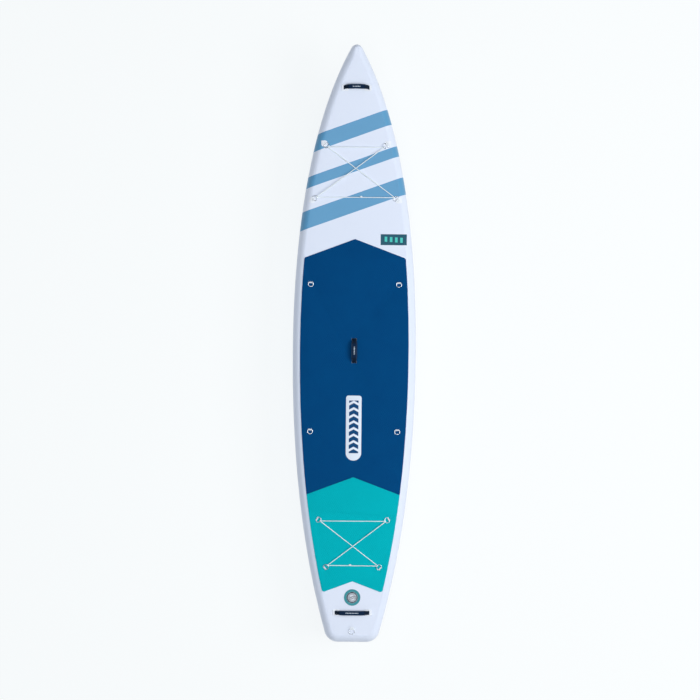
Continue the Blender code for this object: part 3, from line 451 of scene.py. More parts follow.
def fit(piece, look, body, slot, *nodes):
    """Gives a piece its finish and the body that it rides on, and hides the nodes it stands for. The
    slot is not used.
    """
    dress(piece, look)
    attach(piece, body)
    if nodes:
        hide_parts(*nodes)


def length_of(path):
    return sum((b - a).length for a, b in zip(path, path[1:]))


for net in ("front_bungee", "rear_bungee"):
    route, knot, away = net_route(net)
    length = length_of(route)
    cord = tube(f"{net}_cord", route, CORD / 2, 14)
    fit(cord, cord_look(f"{net}_braid", length), "hull", "bungee_cord", net)
    level = away.cross(Vector((0, 0, 1))).normalized()
    rise = level.cross(away)
    turns = []
    for step in range(25):
        angle = math.pi + KNOT_OPENING + (2 * math.pi - 2 * KNOT_OPENING) * step / 24
        ahead = KNOT_SIZE * (math.sin(angle) + 2 * math.sin(2 * angle))
        aside = KNOT_SIZE * (math.cos(angle) - 2 * math.cos(2 * angle)) + KNOT_OFFSET
        turns.append(knot - away * ahead + level * aside
                     - rise * (KNOT_HEIGHT * math.sin(3 * angle)))
    lead_in = [knot - away * reach + rise * LEAD_RISE * lift for reach, lift in LEADS]
    lead_out = [knot + away * reach - rise * LEAD_RISE * lift for reach, lift in LEADS[::-1]]
    knot_path = smoothed(lead_in + turns + lead_out, 4)
    tie = tube(f"{net}_overhand_knot", knot_path, CORD / 2 * 0.98, 12)
    braid = cord_look(f"{net}_knot_braid", length_of(knot_path))
    fit(tie, braid, "hull", "bungee_cord", f"{net}_knot")
    tuple(route[0])
    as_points(route)


# Hull: a drop-stitch core closed by a glossy PVC coated skin, flat on top and below and round at the
# sides, with the nose kicked up. Pale blue bands and a dark size plate are printed near the nose.
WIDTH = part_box("rail_right")[1][0] * 2
WIDEST_FROM_TAIL = 1.864
NOSE_RADIUS, NOSE_ANGLE = 0.0388, math.radians(29.4)
NOSE_FULLNESS, FRONT_STRAIGHTNESS = 0.538, 0.730
TAIL_RADIUS, TAIL_ANGLE, TAIL_FLAT = 0.086, math.radians(15.8), 0.0905
TAIL_FULLNESS, REAR_STRAIGHTNESS = 0.472, 0.778
RAIL_BULGE = 0.052
ACROSS = 12                  # strips of skin between the rails
BAND_LIP = 0.0011            # how far the rail band stands off the skin


def bezier(a, b, c, d, t):
    u = 1 - t
    return a * u**3 + b * (3 * u * u * t) + c * (3 * u * t * t) + d * t**3


def plan():
    """The right half of the plan, nose to transom: points and outward normals."""
    found = []
    centre = Vector((0, NOSE_Y - NOSE_RADIUS))
    for i in range(17):
        angle = math.pi / 2 + (NOSE_ANGLE - math.pi / 2) * i / 16
        normal = Vector((math.cos(angle), math.sin(angle)))
        found.append((centre + normal * NOSE_RADIUS, normal))
    widest = Vector((WIDTH / 2, TAIL_Y + WIDEST_FROM_TAIL))
    corner = Vector((TAIL_FLAT, TAIL_Y + TAIL_RADIUS))
    leaving = Vector((math.cos(TAIL_ANGLE), -math.sin(TAIL_ANGLE)))
    tail_start = corner + leaving * TAIL_RADIUS
    start, normal = found[-1]
    front = (start, start + Vector((normal.y, -normal.x)) * NOSE_FULLNESS,
             widest + Vector((0, FRONT_STRAIGHTNESS)), widest)
    rear = (widest, widest - Vector((0, REAR_STRAIGHTNESS)),
            tail_start + Vector((-leaving.y, leaving.x)) * TAIL_FULLNESS, tail_start)
    for curve, steps in ((front, 110), (rear, 90)):
        for i in range(1, steps + 1):
            t = i / steps
            ahead = bezier(*curve, min(t + 1e-4, 1)) - bezier(*curve, t - 1e-4)
            found.append((bezier(*curve, t), Vector((-ahead.y, ahead.x)).normalized()))
    for i in range(1, 17):
        angle = -TAIL_ANGLE - (math.pi / 2 - TAIL_ANGLE) * i / 16
        normal = Vector((math.cos(angle), math.sin(angle)))
        found.append((corner + normal * TAIL_RADIUS, normal))
    return found


PLAN = plan()
PLAN_POINTS = np.array([tuple(point) for point, _ in PLAN])
PLAN_DEPTHS = [min(RAIL_BULGE, 0.78 * (p.x / n.x if n.x > 1e-6 else
                                       (NOSE_RADIUS if p.y > 0 else 1.0))) for p, n in PLAN]


def rail_point(point, normal, depth, angle, out=0.0):
    """A point of the rail at an angle from straight out: up is positive."""
    inward = depth * (1 - math.cos(angle))
    at = point - normal * (inward - out * math.cos(angle))
    lift = THICKNESS / 2 * math.sin(angle) + out * math.sin(angle)
    return Vector((at.x, at.y, THICKNESS / 2 + lift + rocker(at.y)))


def deck_height(x, y):
    """The height of the hull's upper side, with the fall of the rails."""
    near = np.hypot(PLAN_POINTS[:, 0] - abs(x), PLAN_POINTS[:, 1] - y)
    i = int(near.argmin())
    (point, normal), depth = PLAN[i], PLAN_DEPTHS[i]
    inset = (point - Vector((abs(x), y))).dot(normal)
    share = min(max(1 - inset / depth, 0.0), 1.0)
    lap = BAND_LIP * min(max((share - 0.04) / 0.06, 0.0), 1.0)
    return THICKNESS / 2 * (1 + math.sqrt(1 - share * share)) + lap + rocker(y)


def skin_shape(u, v):
    """The skin round the board: u from nose to tail corner, v once round the section."""
    (point, normal), depth = (row[round(u * (len(PLAN) - 1))] for row in (PLAN, PLAN_DEPTHS))
    rail_steps = 24
    total = 2 * (ACROSS + rail_steps)
    step = round(v * total) % total
    sign = 1
    if step > total / 2:
        sign, step = -1, total - step
    half = ACROSS / 2
    if step <= half or step >= half + rail_steps:
        up = step <= half
        edge = rail_point(point, normal, depth, math.pi / 2 if up else -math.pi / 2)
        share = step / half if up else (total / 2 - step) / half
        return Vector((sign * edge.x * share, edge.y, edge.z))
    found = rail_point(point, normal, depth, math.pi / 2 - math.pi * (step - half) / rail_steps)
    return Vector((sign * found.x, found.y, found.z))


def transom_shape(u, v):
    """The flat stretch of rail that closes the tail."""
    point, normal = Vector((TAIL_FLAT * (2 * u - 1), TAIL_Y)), Vector((0, -1))
    return rail_point(point, normal, RAIL_BULGE, math.pi / 2 - math.pi * v)


def join(name, *pieces):
    """Joins pieces into one mesh, its doubles merged and its faces outward."""
    pick(*pieces)
    bpy.ops.object.join()
    pieces[0].name = pieces[0].data.name = name
    return edit(pieces[0], merge, outwards)


BANDS = ((1.375, 0.104), (1.140, 0.070), (0.905, 0.116))     # middle on the centreline, width
BAND_SLOPE = 0.36
PLATE_X, PLATE_Y = 0.2455, 0.671
PLATE_HALF_WIDTH, PLATE_HALF_LENGTH = 0.0835, 0.035
BARS_HALF_WIDTH, BARS_HALF_LENGTH, BAR_PITCH, BAR_LEAN = 0.066, 0.016, 0.033, 0.06
SEAM_HALF_WIDTH, SEAM_REACH = 0.004, 0.29
EDGE = 0.0006                # softness of a printed edge
PAD_SEAM, CHEVRON_SLOPE = TAIL_Y + 1.059, 0.376


def printed_skin(name):
    """Gloss PVC with a faint fabric imprint, printed bands and a size plate."""
    look = Look(name, paint(0.838, 0.874, 0.948), 0.34, Coat_Weight=0.04, Coat_Roughness=0.12,
                Specular_IOR_Level=0.15)
    x, y = look.place("X"), look.place("Y")
    level = y - x * BAND_SLOPE
    bands = None
    for middle, wide in BANDS:
        band = level.between(middle - wide / 2, middle + wide / 2, 0.0008)
        bands = band if bands is None else bands + band
    tint = look.noise(3.0, 2.0)
    white = look.blend(tint, paint(0.866, 0.900, 0.968), paint(0.880, 0.914, 0.978))
    blue = look.blend(tint, paint(0.366, 0.606, 0.772), paint(0.386, 0.628, 0.792))
    colour = look.blend(bands, white, blue)
    # The size plate, a dark panel with plain bars.
    px, py = x - PLATE_X, y - PLATE_Y
    panel = px.between(-PLATE_HALF_WIDTH, PLATE_HALF_WIDTH, EDGE)
    panel = panel * py.between(-PLATE_HALF_LENGTH, PLATE_HALF_LENGTH, EDGE)
    bars = (px + BARS_HALF_WIDTH).stripes(BAR_PITCH, 0.50, 0.015)
    bars = bars * px.between(-BARS_HALF_WIDTH, BARS_HALF_WIDTH, EDGE)
    bars = bars * (py + px * BAR_LEAN).between(-BARS_HALF_LENGTH, BARS_HALF_LENGTH, EDGE)
    colour = look.blend(panel, colour, paint(0.005, 0.310, 0.395))
    colour = look.blend(bars, colour, paint(0.26, 0.78, 0.74))
    # Primer under the joint of the two deck pads.
    seam = y + x.math("ABSOLUTE") * CHEVRON_SLOPE
    seam = seam.between(PAD_SEAM - SEAM_HALF_WIDTH, PAD_SEAM + SEAM_HALF_WIDTH, 0.0005)
    seam = seam * x.between(-SEAM_REACH, SEAM_REACH, 0.001)
    colour = look.blend(seam, colour, paint(0.0, 0.25, 0.40))
    look.set("Base Color", colour)
    look.set("Roughness", 0.30 + look.noise(40.0) * 0.12)
    weave = look.noise(900.0, 2.0) * 0.6 + look.noise(35.0, 2.0) * 0.4
    look.bump(weave, 0.22, 0.0006)
    return look


PVC = printed_skin("printed_pvc")
hull_skin = join("hull_skin", grid("skin", len(PLAN) - 1, 2 * (ACROSS + 24), skin_shape),
                 grid("transom", ACROSS, 24, transom_shape))
smooth(hull_skin, 60)
fit(hull_skin, PVC, "hull", "white_pvc",
    "drop_stitch_core", "rail_left", "rail_right", "deck_skin", "bottom_skin")


# Rail band: a second strip of the same skin, glued round the sides from deck to bottom. Its edge
# stands a millimetre proud on the shoulder of the rail.
BAND_REACH = math.radians(83)
RIGHT = [(p, n, d) for (p, n), d in zip(PLAN, PLAN_DEPTHS)]
FLAT = [(Vector((TAIL_FLAT * (1 - i / 6), TAIL_Y)), Vector((0, -1)), RAIL_BULGE) for i in range(1, 12)]
LEFT = [(Vector((-p.x, p.y)), Vector((-n.x, n.y)), d) for p, n, d in RIGHT[::-1]]
ROUND = RIGHT + FLAT + LEFT[:-1]


def band_shape(u, v):
    """A strip round the board: u along the outline, v from its upper to its lower edge."""
    point, normal, depth = ROUND[round(u * len(ROUND)) % len(ROUND)]
    return rail_point(point, normal, depth, BAND_REACH * (1 - 2 * v), 0.0002)


rail_band = edit(grid("rail_band", len(ROUND), 26, band_shape), merge, outwards)
smooth(apply(rail_band, "SOLIDIFY", thickness=BAND_LIP - 0.0002, offset=1.0), 50)
fit(rail_band, PVC, "hull", "white_pvc")


# Deck pads: two sheets of 4.5 mm EVA foam glued to the deck, navy in front and teal behind, cut to
# a chevron and embossed with shallow diamond grooves. Slots let the fittings' webbing through.
PAD_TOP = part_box("front_deck_pad")[1][2]
PAD_BEVEL = 0.0014
GROOVE_PITCH, GROOVE_SLOPE, GROOVE_SHARE = 0.013, 0.6, 0.12


def copy_of(node, name):
    """A copy of a CAD piece with its loose triangles joined up."""
    deselect()
    piece = frame["nodes"][node].copy()
    piece.data = piece.data.copy()
    piece.name = piece.data.name = name
    piece.parent = None
    piece.matrix_world = Matrix()
    bpy.context.scene.collection.objects.link(piece)
    return edit(piece, merge, lambda: bpy.ops.mesh.dissolve_limited(angle_limit=math.radians(1)))


def bevel_edges(piece, width, segments, chosen):
    """Rounds the sharp edges that chosen(middle, edge) picks."""
    pick(piece)
    bpy.ops.object.mode_set(mode="EDIT")
    bpy.ops.mesh.select_mode(type="EDGE")
    bpy.ops.mesh.select_all(action="DESELECT")
    bm = bmesh.from_edit_mesh(piece.data)
    for line in bm.edges:
        middle = (line.verts[0].co + line.verts[1].co) / 2
        angle = math.degrees(line.calc_face_angle(0.0))
        if angle > 20 and chosen(middle, line):
            line.select_set(True)
    bmesh.update_edit_mesh(piece.data)
    bpy.ops.mesh.bevel(offset=width, segments=segments, affect="EDGES", clamp_overlap=True)
    bpy.ops.mesh.select_mode(type="VERT")
    bpy.ops.object.mode_set(mode="OBJECT")
    return piece


def foam_look(name, colour, lighter):
    """Embossed EVA: a grid of shallow grooves and a fine brushed grain."""
    look = Look(name, colour, 0.85, Specular_IOR_Level=0.06)
    x, y = look.place("X"), look.place("Y")
    one, two = (x + y * GROOVE_SLOPE) / GROOVE_PITCH, (x - y * GROOVE_SLOPE) / GROOVE_PITCH
    grooves = one.math("FRACT").between(0.0, GROOVE_SHARE, 0.05)
    grooves = 1.0 - (1.0 - grooves) * (1.0 - two.math("FRACT").between(0.0, GROOVE_SHARE, 0.05))
    grain = look.noise(700.0, 4.0)
    mottle = look.noise(9.0, 3.0)
    base = look.blend(mottle, colour, lighter)
    look.set("Base Color", look.blend(grooves * 0.30, base, tuple(c * 0.55 for c in colour)))
    look.set("Roughness", 0.80 + grain * 0.15)
    look.bump(grain * 0.12 - grooves, 0.5, 0.0010)
    return look


FOAM = {}
for node, piece_name, colour, lighter, slot in (
    ("front_deck_pad", "navy_deck_pad", paint(0.0, 0.262, 0.475), paint(0.0, 0.288, 0.502),
     "navy_foam"),
    ("rear_deck_pad", "teal_deck_pad", paint(0.0, 0.695, 0.740), paint(0.0, 0.720, 0.765),
     "teal_foam"),
):
    FOAM[node] = foam_look(piece_name + "_foam", colour, lighter)
    pad = copy_of(node, piece_name)
    top = PAD_TOP - 0.0002
    bevel_edges(pad, PAD_BEVEL, 3, lambda middle, line: middle.z > top
                and all(v.co.z > top for v in line.verts))
    smooth(pad, 35)
    fit(pad, FOAM[node], "hull", slot, node)


# Inlay: a white panel let into the navy pad behind the carry handle, square ahead and round behind,
# with plain navy bars and chevrons.
INLAY_WIDTH, INLAY_LENGTH, INLAY_Y = 0.099, 0.415, -0.533
INLAY_CORNER = 0.016


def plate(name, outline, low, high, bevel, segments=3):
    """A flat plate from a plan outline: a circle's points moved to it, then raised and rounded."""
    deselect()
    bpy.ops.mesh.primitive_circle_add(vertices=len(outline), fill_type="NGON")
    piece = bpy.context.object
    piece.name = piece.data.name = name
    for point, at in zip(piece.data.vertices, outline):
        point.co = (at[0], at[1], low)
    edit(piece, lambda: bpy.ops.mesh.extrude_region_move(
        TRANSFORM_OT_translate={"value": (0, 0, high - low)}), outwards)
    middle = (low + high) / 2
    return bevel_edges(piece, bevel, segments, lambda at, line: at.z > middle
                       and all(v.co.z > middle for v in line.verts))


def arc(centre, radius, first, last, steps):
    return [(centre[0] + radius * math.cos(first + (last - first) * i / steps),
             centre[1] + radius * math.sin(first + (last - first) * i / steps))
            for i in range(steps + 1)]


def rounded(width, length, corner, centre=(0, 0), steps=8):
    """A rectangle's outline with round corners."""
    found = []
    for turn, (sx, sy) in enumerate(((1, 1), (-1, 1), (-1, -1), (1, -1))):
        at = (centre[0] + sx * (width / 2 - corner), centre[1] + sy * (length / 2 - corner))
        found += arc(at, corner, math.pi / 2 * turn, math.pi / 2 * (turn + 1), steps)
    return found


half = INLAY_WIDTH / 2
front_y, rear_y = INLAY_Y + INLAY_LENGTH / 2, INLAY_Y - INLAY_LENGTH / 2
outline = arc((half - INLAY_CORNER, front_y - INLAY_CORNER), INLAY_CORNER, 0, math.pi / 2, 6)
outline += arc((INLAY_CORNER - half, front_y - INLAY_CORNER), INLAY_CORNER, math.pi / 2, math.pi, 6)
outline += arc((0, rear_y + half), half, math.pi, 2 * math.pi, 28)
inlay = smooth(plate("pad_inlay", outline, PAD_TOP - 0.0006, PAD_TOP + 0.0005, 0.0004, 2), 35)
look = Look("inlay_foam", paint(0.90, 0.93, 0.97), 0.8, Specular_IOR_Level=0.2)
x, y = look.place("X"), look.place("Y")
level = y - INLAY_Y
inner = x.between(-0.030, 0.030, 0.0006)
chevrons = (level + x.math("ABSOLUTE") * 0.55).stripes(0.042, 0.62, 0.012)
marks = chevrons * inner * level.between(-0.160, 0.176, 0.0006)
look.set("Base Color", look.blend(marks, paint(0.885, 0.920, 0.970), paint(0.02, 0.27, 0.47)))
look.bump(look.noise(700.0, 4.0) - marks * 0.8, 0.4, 0.0005)
fit(inlay, look, "hull", "navy_foam")


# D-rings: bent and butt-welded round stainless wire, one for each corner of the bungee nets, four
# for seat or bag clips on the pad and a larger one for the leash.
RING_WIDTH, RING_HEIGHT = 0.036, 0.031
LEASH_WIRE, LEASH_WIDTH, LEASH_HEIGHT = 0.005, 0.041, 0.036
RING_CORNER = 0.9
RINGS = [j["name"].removesuffix("_swing") for j in frame["joints"] if "ring" in j["name"]]


def ring_shape(width, height, wire):
    """A D-ring that lies in XY, the middle of its bar at the origin and its bow toward +Y."""
    half, corner = (width - wire) / 2, wire * RING_CORNER
    reach = height - wire
    bar = [Vector((x * (half - corner), 0, 0)) for x in (-0.9, -0.45, 0.0, 0.45, 0.9)]
    bend = [Vector((half - corner + corner * math.sin(a), corner - corner * math.cos(a), 0))
            for a in (math.pi / 2 * i / 8 for i in range(9))]
    leg = [Vector((half, y, 0)) for y in (corner + 0.0015, reach - half - 0.001)]
    bow = [Vector((half * math.cos(a), reach - half + half * math.sin(a), 0))
           for a in (math.pi * i / 32 for i in range(33))]
    legs_back = [Vector((-v.x, v.y, 0)) for v in (bend + leg)[::-1]]
    path = bar + bend + leg + bow + legs_back
    return tube("ring", path, wire / 2, 16, closed=True)


def copy_to(piece, name, matrix):
    """A copy with its own mesh, set in place in its points."""
    copy = piece.copy()
    copy.data = piece.data.copy()
    copy.name = copy.data.name = name
    copy.data.transform(matrix)
    bpy.context.scene.collection.objects.link(copy)
    return copy


steel = Look("stainless_wire", paint(0.80, 0.82, 0.85), 0.22, 1.0)
smudge = steel.noise(60.0, 3.0)
steel.set("Base Color", steel.blend(smudge, paint(0.79, 0.82, 0.86), paint(0.91, 0.93, 0.95)))
steel.set("Roughness", 0.14 + smudge * 0.2)
steel.bump(steel.noise(900.0, 2.0), 0.15, 0.0003)
small_ring = ring_shape(RING_WIDTH, RING_HEIGHT, RING_WIRE)
large_ring = ring_shape(LEASH_WIDTH, LEASH_HEIGHT, LEASH_WIRE)
for name in RINGS:
    model = large_ring if name == "leash_ring" else small_ring
    tilt = Matrix.Rotation(BOW_TILT if "bungee" in name else 0.0, 4, "X")
    ring = copy_to(model, name + "_wire", joint_frame(name + "_swing") @ tilt)
    fit(ring, steel, name, "ring_steel", name)
for model in (small_ring, large_ring):
    bpy.data.objects.remove(model)


# Ring anchors: a short strap of webbing folded round each ring's bar and sewn down. At the nose and
# at the leash it is welded to a white PVC patch. In the pads it comes up through a slot, and a tongue
# of foam covers its tail.
WEBBING = 0.0012
STRAP_TAIL = 0.014
PATCH_THICKNESS = 0.0010
PATCH_RADIUS, PATCH_POINT = 0.021, 0.030
ANCHOR_WIDTH = RING_WIDTH - RING_WIRE * (1 + 2 * RING_CORNER)
GAP = 0.0003                 # left between two pieces that lie on each other
PAD_LEVEL, TONGUE_LEVEL = 0.0048, 0.0047
BAR_CLEARANCE = 0.0018       # air for the webbing under a ring's bar
SLOT_MARGIN, TONGUE_LENGTH, TONGUE_Y = 0.0013, STRAP_TAIL - 0.0055, -0.0105
PATCH_Y, PATCH_SPREAD = -0.006, math.radians(50)


def strap(name, path, width, thickness, across=Vector((1, 0, 0)), crown=0.0):
    """A flat strap along a path, with soft edges. Its UV map runs along it and round it."""
    path = evenly(path, 0.0012)
    count = len(path)

    def shape(u, v):
        i = round(u * (count - 1))
        ahead = (path[min(i + 1, count - 1)] - path[max(i - 1, 0)]).normalized()
        up = ahead.cross(across)
        share = 1 - 4 * v if v < 0.5 else 4 * v - 3
        rise = max(1 - abs(share) ** (3 if crown else 12), 0.0) ** 0.5 * thickness / 2
        return path[i] + across * (share * width / 2) + up * (rise if v < 0.5 else -rise)

    piece = grid(name, count - 1, 32, shape)
    return smooth(edit(piece, merge, fill, outwards), 45)


def webbing_look(name, dark, light, length, thread=None):
    """Woven polyester: ribs across the strap and a row of stitching near each edge."""
    look = Look(name, dark, 0.85, Specular_IOR_Level=0.15)
    along, around = look.along("X") * length, look.along("Y")
    ribs = (along / 0.0016 + (around * 16.0).math("FRACT").ramp(0.45, 0.55) * 0.5).math("FRACT")
    ribs = ribs.between(0.12, 0.88, 0.15)
    wear = look.noise(150.0, 3.0)
    colour = look.blend(ribs * (wear * 0.5 + 0.5), dark, light)
    if thread:
        rows = (around * 2.0).math("FRACT").between(0.10, 0.13, 0.008)
        rows = rows + (around * 2.0).math("FRACT").between(0.87, 0.90, 0.008)
        stitches = rows * (along / 0.0042).math("FRACT").between(0.15, 0.85, 0.1)
        colour = look.blend(stitches, colour, thread)
        ribs = ribs + stitches * 1.5
    look.set("Base Color", colour)
    look.set("Roughness", 0.92 - ribs * 0.15)
    look.bump(ribs, 0.6, 0.0005)
    return look


def welded_look(name, base):
    """Matt PVC with a fine grain, as on welded patches."""
    look = Look(name, base, 0.5)
    grain = look.noise(500.0, 3.0)
    look.set("Base Color", look.blend(grain, tuple(c * 0.93 for c in base), base))
    look.set("Roughness", 0.42 + grain * 0.16)
    look.bump(grain, 0.3, 0.0005)
    return look


white_webbing = webbing_look("white_webbing", paint(0.82, 0.86, 0.91), paint(0.95, 0.97, 0.99),
                             0.075, paint(0.97, 0.98, 1.0))
dark_webbing = webbing_look("dark_webbing", paint(0.035, 0.085, 0.15), paint(0.09, 0.16, 0.24),
                            0.075, paint(0.32, 0.42, 0.52))
patch_white = welded_look("patch_pvc", paint(0.92, 0.945, 0.985))
leash_patch = welded_look("leash_patch_pvc", paint(0.872, 0.906, 0.972))
for name in RINGS:
    leash = name == "leash_ring"
    on_deck = leash or name.startswith("front_bungee")
    base = joint_frame(name + "_swing")
    wire = LEASH_WIRE if leash else RING_WIRE
    lift = (PATCH_THICKNESS if on_deck else PAD_LEVEL) + GAP + wire / 2 + BAR_CLEARANCE
    floor_z = (PATCH_THICKNESS + GAP if on_deck else GAP) - lift
    loop = wire / 2 + GAP + WEBBING / 2
    low = floor_z + WEBBING * 0.55
    tail_low = [Vector((0, -STRAP_TAIL * (1 - i / 6), low)) for i in range(5)]
    tail_high = [Vector((0, -STRAP_TAIL * (1 - i / 6), low + WEBBING * 1.05)) for i in range(5)]
    circle = [Vector((0, loop * math.cos(a), loop * math.sin(a)))
              for a in (math.radians(-100 + 240 * i / 16) for i in range(17))]
    path = smoothed(tail_low + circle + tail_high[::-1], 3)
    band = strap(name + "_strap", path, ANCHOR_WIDTH, WEBBING)
    band.data.transform(base)
    fit(band, white_webbing, "hull", "webbing_white", name + "_anchor")
    if not on_deck:
        pad = "front_deck_pad" if "seat" in name else "rear_deck_pad"
        top = TONGUE_LEVEL - lift
        outline = rounded(ANCHOR_WIDTH + SLOT_MARGIN, TONGUE_LENGTH, 0.001, (0, TONGUE_Y), 3)
        tongue = plate(name + "_foam_tongue", outline, top - 0.0014, top, 0.0003, 2)
        tongue.data.transform(base)
        fit(tongue, FOAM[pad], "hull", "navy_foam" if "seat" in name else "teal_foam")
        continue
    centre = (0, PATCH_Y)
    rim = arc(centre, PATCH_RADIUS, PATCH_SPREAD - math.pi / 2, 1.5 * math.pi - PATCH_SPREAD, 40)
    tip = Vector((centre[0], centre[1] - PATCH_POINT))
    for i in range(1, 20):
        share = i / 10 if i < 10 else 2 - i / 10
        rim.append(tuple(Vector(rim[40] if i < 10 else rim[0]).lerp(tip, share)))
    rim = smoothed([(*p, 0) for p in rim], 2, closed=True)

    def patch_shape(u, v):
        edge = rim[round(u * len(rim)) % len(rim)]
        hub = Vector((*centre, 0))
        return hub.lerp(edge, v) - Vector((0, 0, lift))

    patch = edit(grid(name + "_patch", len(rim), 12, patch_shape), merge, outwards)
    patch.data.transform(base)
    for point in patch.data.vertices:
        point.co.z = deck_height(point.co.x, point.co.y) + 0.0004
    face_up(patch)
    apply(patch, "SOLIDIFY", thickness=PATCH_THICKNESS * 0.9, offset=1.0)
    apply(patch, "BEVEL", width=0.0003, segments=2, limit_method="ANGLE")
    smooth(patch, 40)
    fit(patch, leash_patch if leash else patch_white, "hull", "white_pvc")


# Carry handles: one strap of webbing arched between two sewn feet, with a padded neoprene grip
# round its middle. The feet of the nose and tail straps lie between two layers of white PVC and the
# middle strap comes up through slots in the pad. The feet ride on the hull and the grip on the handle.
STRAP_THICKNESS = 0.002
GRIP_THICKNESS, GRIP_END = 0.007, 0.021
ARCH_POWER = 2.6
HANDLE_PATCH = (0.050, 0.042)
PAD_SLOT_FOOT = (0.0154, 0.0314)
FOOT_REACH = 0.017           # how far a strap runs on past its arch
FOOT_COVER, COVER_OUT = (0.0185, 0.0375), 0.0110
COVER_LOW, COVER_SWELL = -0.0002, 0.0023
HANDLES = {                  # span, rise, strap width, grip width, lean to the nose
    "nose_handle": (0.152, 0.030, 0.025, 0.029, math.radians(20)),
    "tail_handle": (0.209, 0.034, 0.025, 0.029, 0.0),
    "carry_handle": (0.143, 0.034, 0.030, 0.038, 0.0),
}


def arch(span, rise, lean, first, last, steps):
    """Points of a strap's arch between two angles, leaning across its own line."""
    found = []
    for i in range(steps + 1):
        angle = first + (last - first) * i / steps
        c, s = math.cos(angle), abs(math.sin(angle))
        x = math.copysign(abs(c) ** (2 / ARCH_POWER), c) * span / 2
        z = rise * s ** (2 / ARCH_POWER)
        found.append(Vector((-x, z * math.tan(lean), z)))
    return found


def grip_look(name, length):
    """Padded neoprene with a ribbed face, bound ends, stitching and a woven band of dashes."""
    look = Look(name, paint(0.045, 0.135, 0.23), 0.8, Specular_IOR_Level=0.12)
    along, around = look.along("X") * length, look.along("Y")
    weave = (along / 0.0018).math("FRACT").between(0.15, 0.85, 0.12)
    weave = weave * 0.5 + (around * 40.0).math("FRACT").between(0.15, 0.85, 0.12) * 0.5
    wear = look.noise(120.0, 3.0)
    colour = look.blend(weave * 0.5 + wear * 0.5, paint(0.02, 0.10, 0.20), paint(0.06, 0.16, 0.28))
    dash = ((along + around * 0.03) / 0.0098).math("FRACT").between(0.22, 0.78, 0.02)
    dash = dash * around.between(0.200, 0.300, 0.004)
    middle = along.between(length * 0.26, length * 0.74, 0.0005)
    colour = look.blend(dash * middle, colour, paint(0.80, 0.85, 0.90))
    ends = 1.0 - along.between(0.0065, length - 0.0065, 0.0004)
    colour = look.blend(ends * 0.6, colour, paint(0.015, 0.06, 0.12))
    rows = around.between(0.040, 0.052, 0.003) + around.between(0.448, 0.460, 0.003)
    stitches = rows * (along / 0.0045).math("FRACT").between(0.15, 0.85, 0.1)
    colour = look.blend(stitches, colour, paint(0.38, 0.47, 0.56))
    look.set("Base Color", colour)
    look.set("Roughness", 0.86 - ends * 0.12)
    look.bump(weave * 0.5 + dash * middle * 0.6 + stitches + ends * 1.5, 0.5, 0.0006)
    return look


for name, (span, rise, width, grip_width, lean) in HANDLES.items():
    base = joint_frame(name + "_swing")
    on_pad = name == "carry_handle"
    arched = arch(span, rise, lean, 0.012, math.pi - 0.012, 60)
    foot = -GAP + STRAP_THICKNESS / 2 + 0.0001
    if on_pad:
        path = arched
    else:
        reach = span / 2 + FOOT_REACH
        left = [Vector((-reach + 0.002 * i, 0, foot)) for i in range(6)]
        path = left + [p for p in arched if p.z > 0.0085]
        path += [Vector((-p.x, 0, foot)) for p in left[::-1]]
    path = smoothed(path, 2)
    webbing = strap(name + "_strap", path, width, STRAP_THICKNESS, Vector((0, 1, 0)))
    webbing.data.transform(base)
    dress(webbing, webbing_look(name + "_webbing", paint(0.015, 0.065, 0.13),
                                paint(0.05, 0.125, 0.21), length_of(path),
                                paint(0.30, 0.40, 0.50)))
    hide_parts(name + "_webbing")
    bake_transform(webbing)

    low = math.acos((1 - 2 * GRIP_END / span) ** (ARCH_POWER / 2))
    middle_run = evenly(arch(span, rise, lean, low, math.pi - low, 96), 0.0025)
    grip = strap(name + "_padded_grip", middle_run, grip_width, GRIP_THICKNESS,
                 Vector((0, 1, 0)), 1.0)
    grip.data.transform(base)
    neoprene = grip_look(name + "_neoprene", length_of(middle_run))
    fit(grip, neoprene, name, "handle_grip", name + "_grip")

    for side, sign in (("left", -1), ("right", 1)):
        if on_pad:
            side = "rear" if sign < 0 else "front"
            size, centre, corner = PAD_SLOT_FOOT, (sign * span / 2, 0), 0.001
        else:
            size, centre, corner = HANDLE_PATCH, (sign * (span / 2 - 0.004), 0), 0.012
        outline = rounded(*size, corner, centre)
        patch = plate(f"{name}_foot_{side}", outline, -0.0013, -GAP, 0.0004, 2)
        patch.data.transform(base)
        smooth(patch, 40)
        finish, slot = (dark_webbing, "webbing_dark") if on_pad else (patch_white, "white_pvc")
        fit(patch, finish, "hull", slot, f"{name}_patch_{side}")
        if on_pad:
            continue
        middle = sign * (span / 2 + COVER_OUT)
        rim = rounded(*FOOT_COVER, 0.006, (middle, 0), 6)

        def cover_shape(u, v):
            """A sheet that lies flat round its rim and swells over the strap's foot."""
            edge = Vector(rim[round(u * len(rim)) % len(rim)])
            at = Vector((middle, 0)).lerp(edge, v)
            beside = min(max((width / 2 + 0.0045 - abs(at.y)) / 0.0038, 0), 1)
            beyond = min(max((span / 2 + 0.0195 - abs(at.x)) / 0.0022, 0), 1)
            swell = (beside * beside * (3 - 2 * beside)) * (beyond * beyond * (3 - 2 * beyond))
            return Vector((at.x, at.y, COVER_LOW + COVER_SWELL * swell))

        cover = edit(grid(f"{name}_foot_cover_{side}", len(rim), 16, cover_shape), merge)
        face_up(cover)
        cover.data.transform(base)
        apply(cover, "SOLIDIFY", thickness=0.0008, offset=1.0)
        smooth(cover, 40)
        fit(cover, patch_white, "hull", "white_pvc")


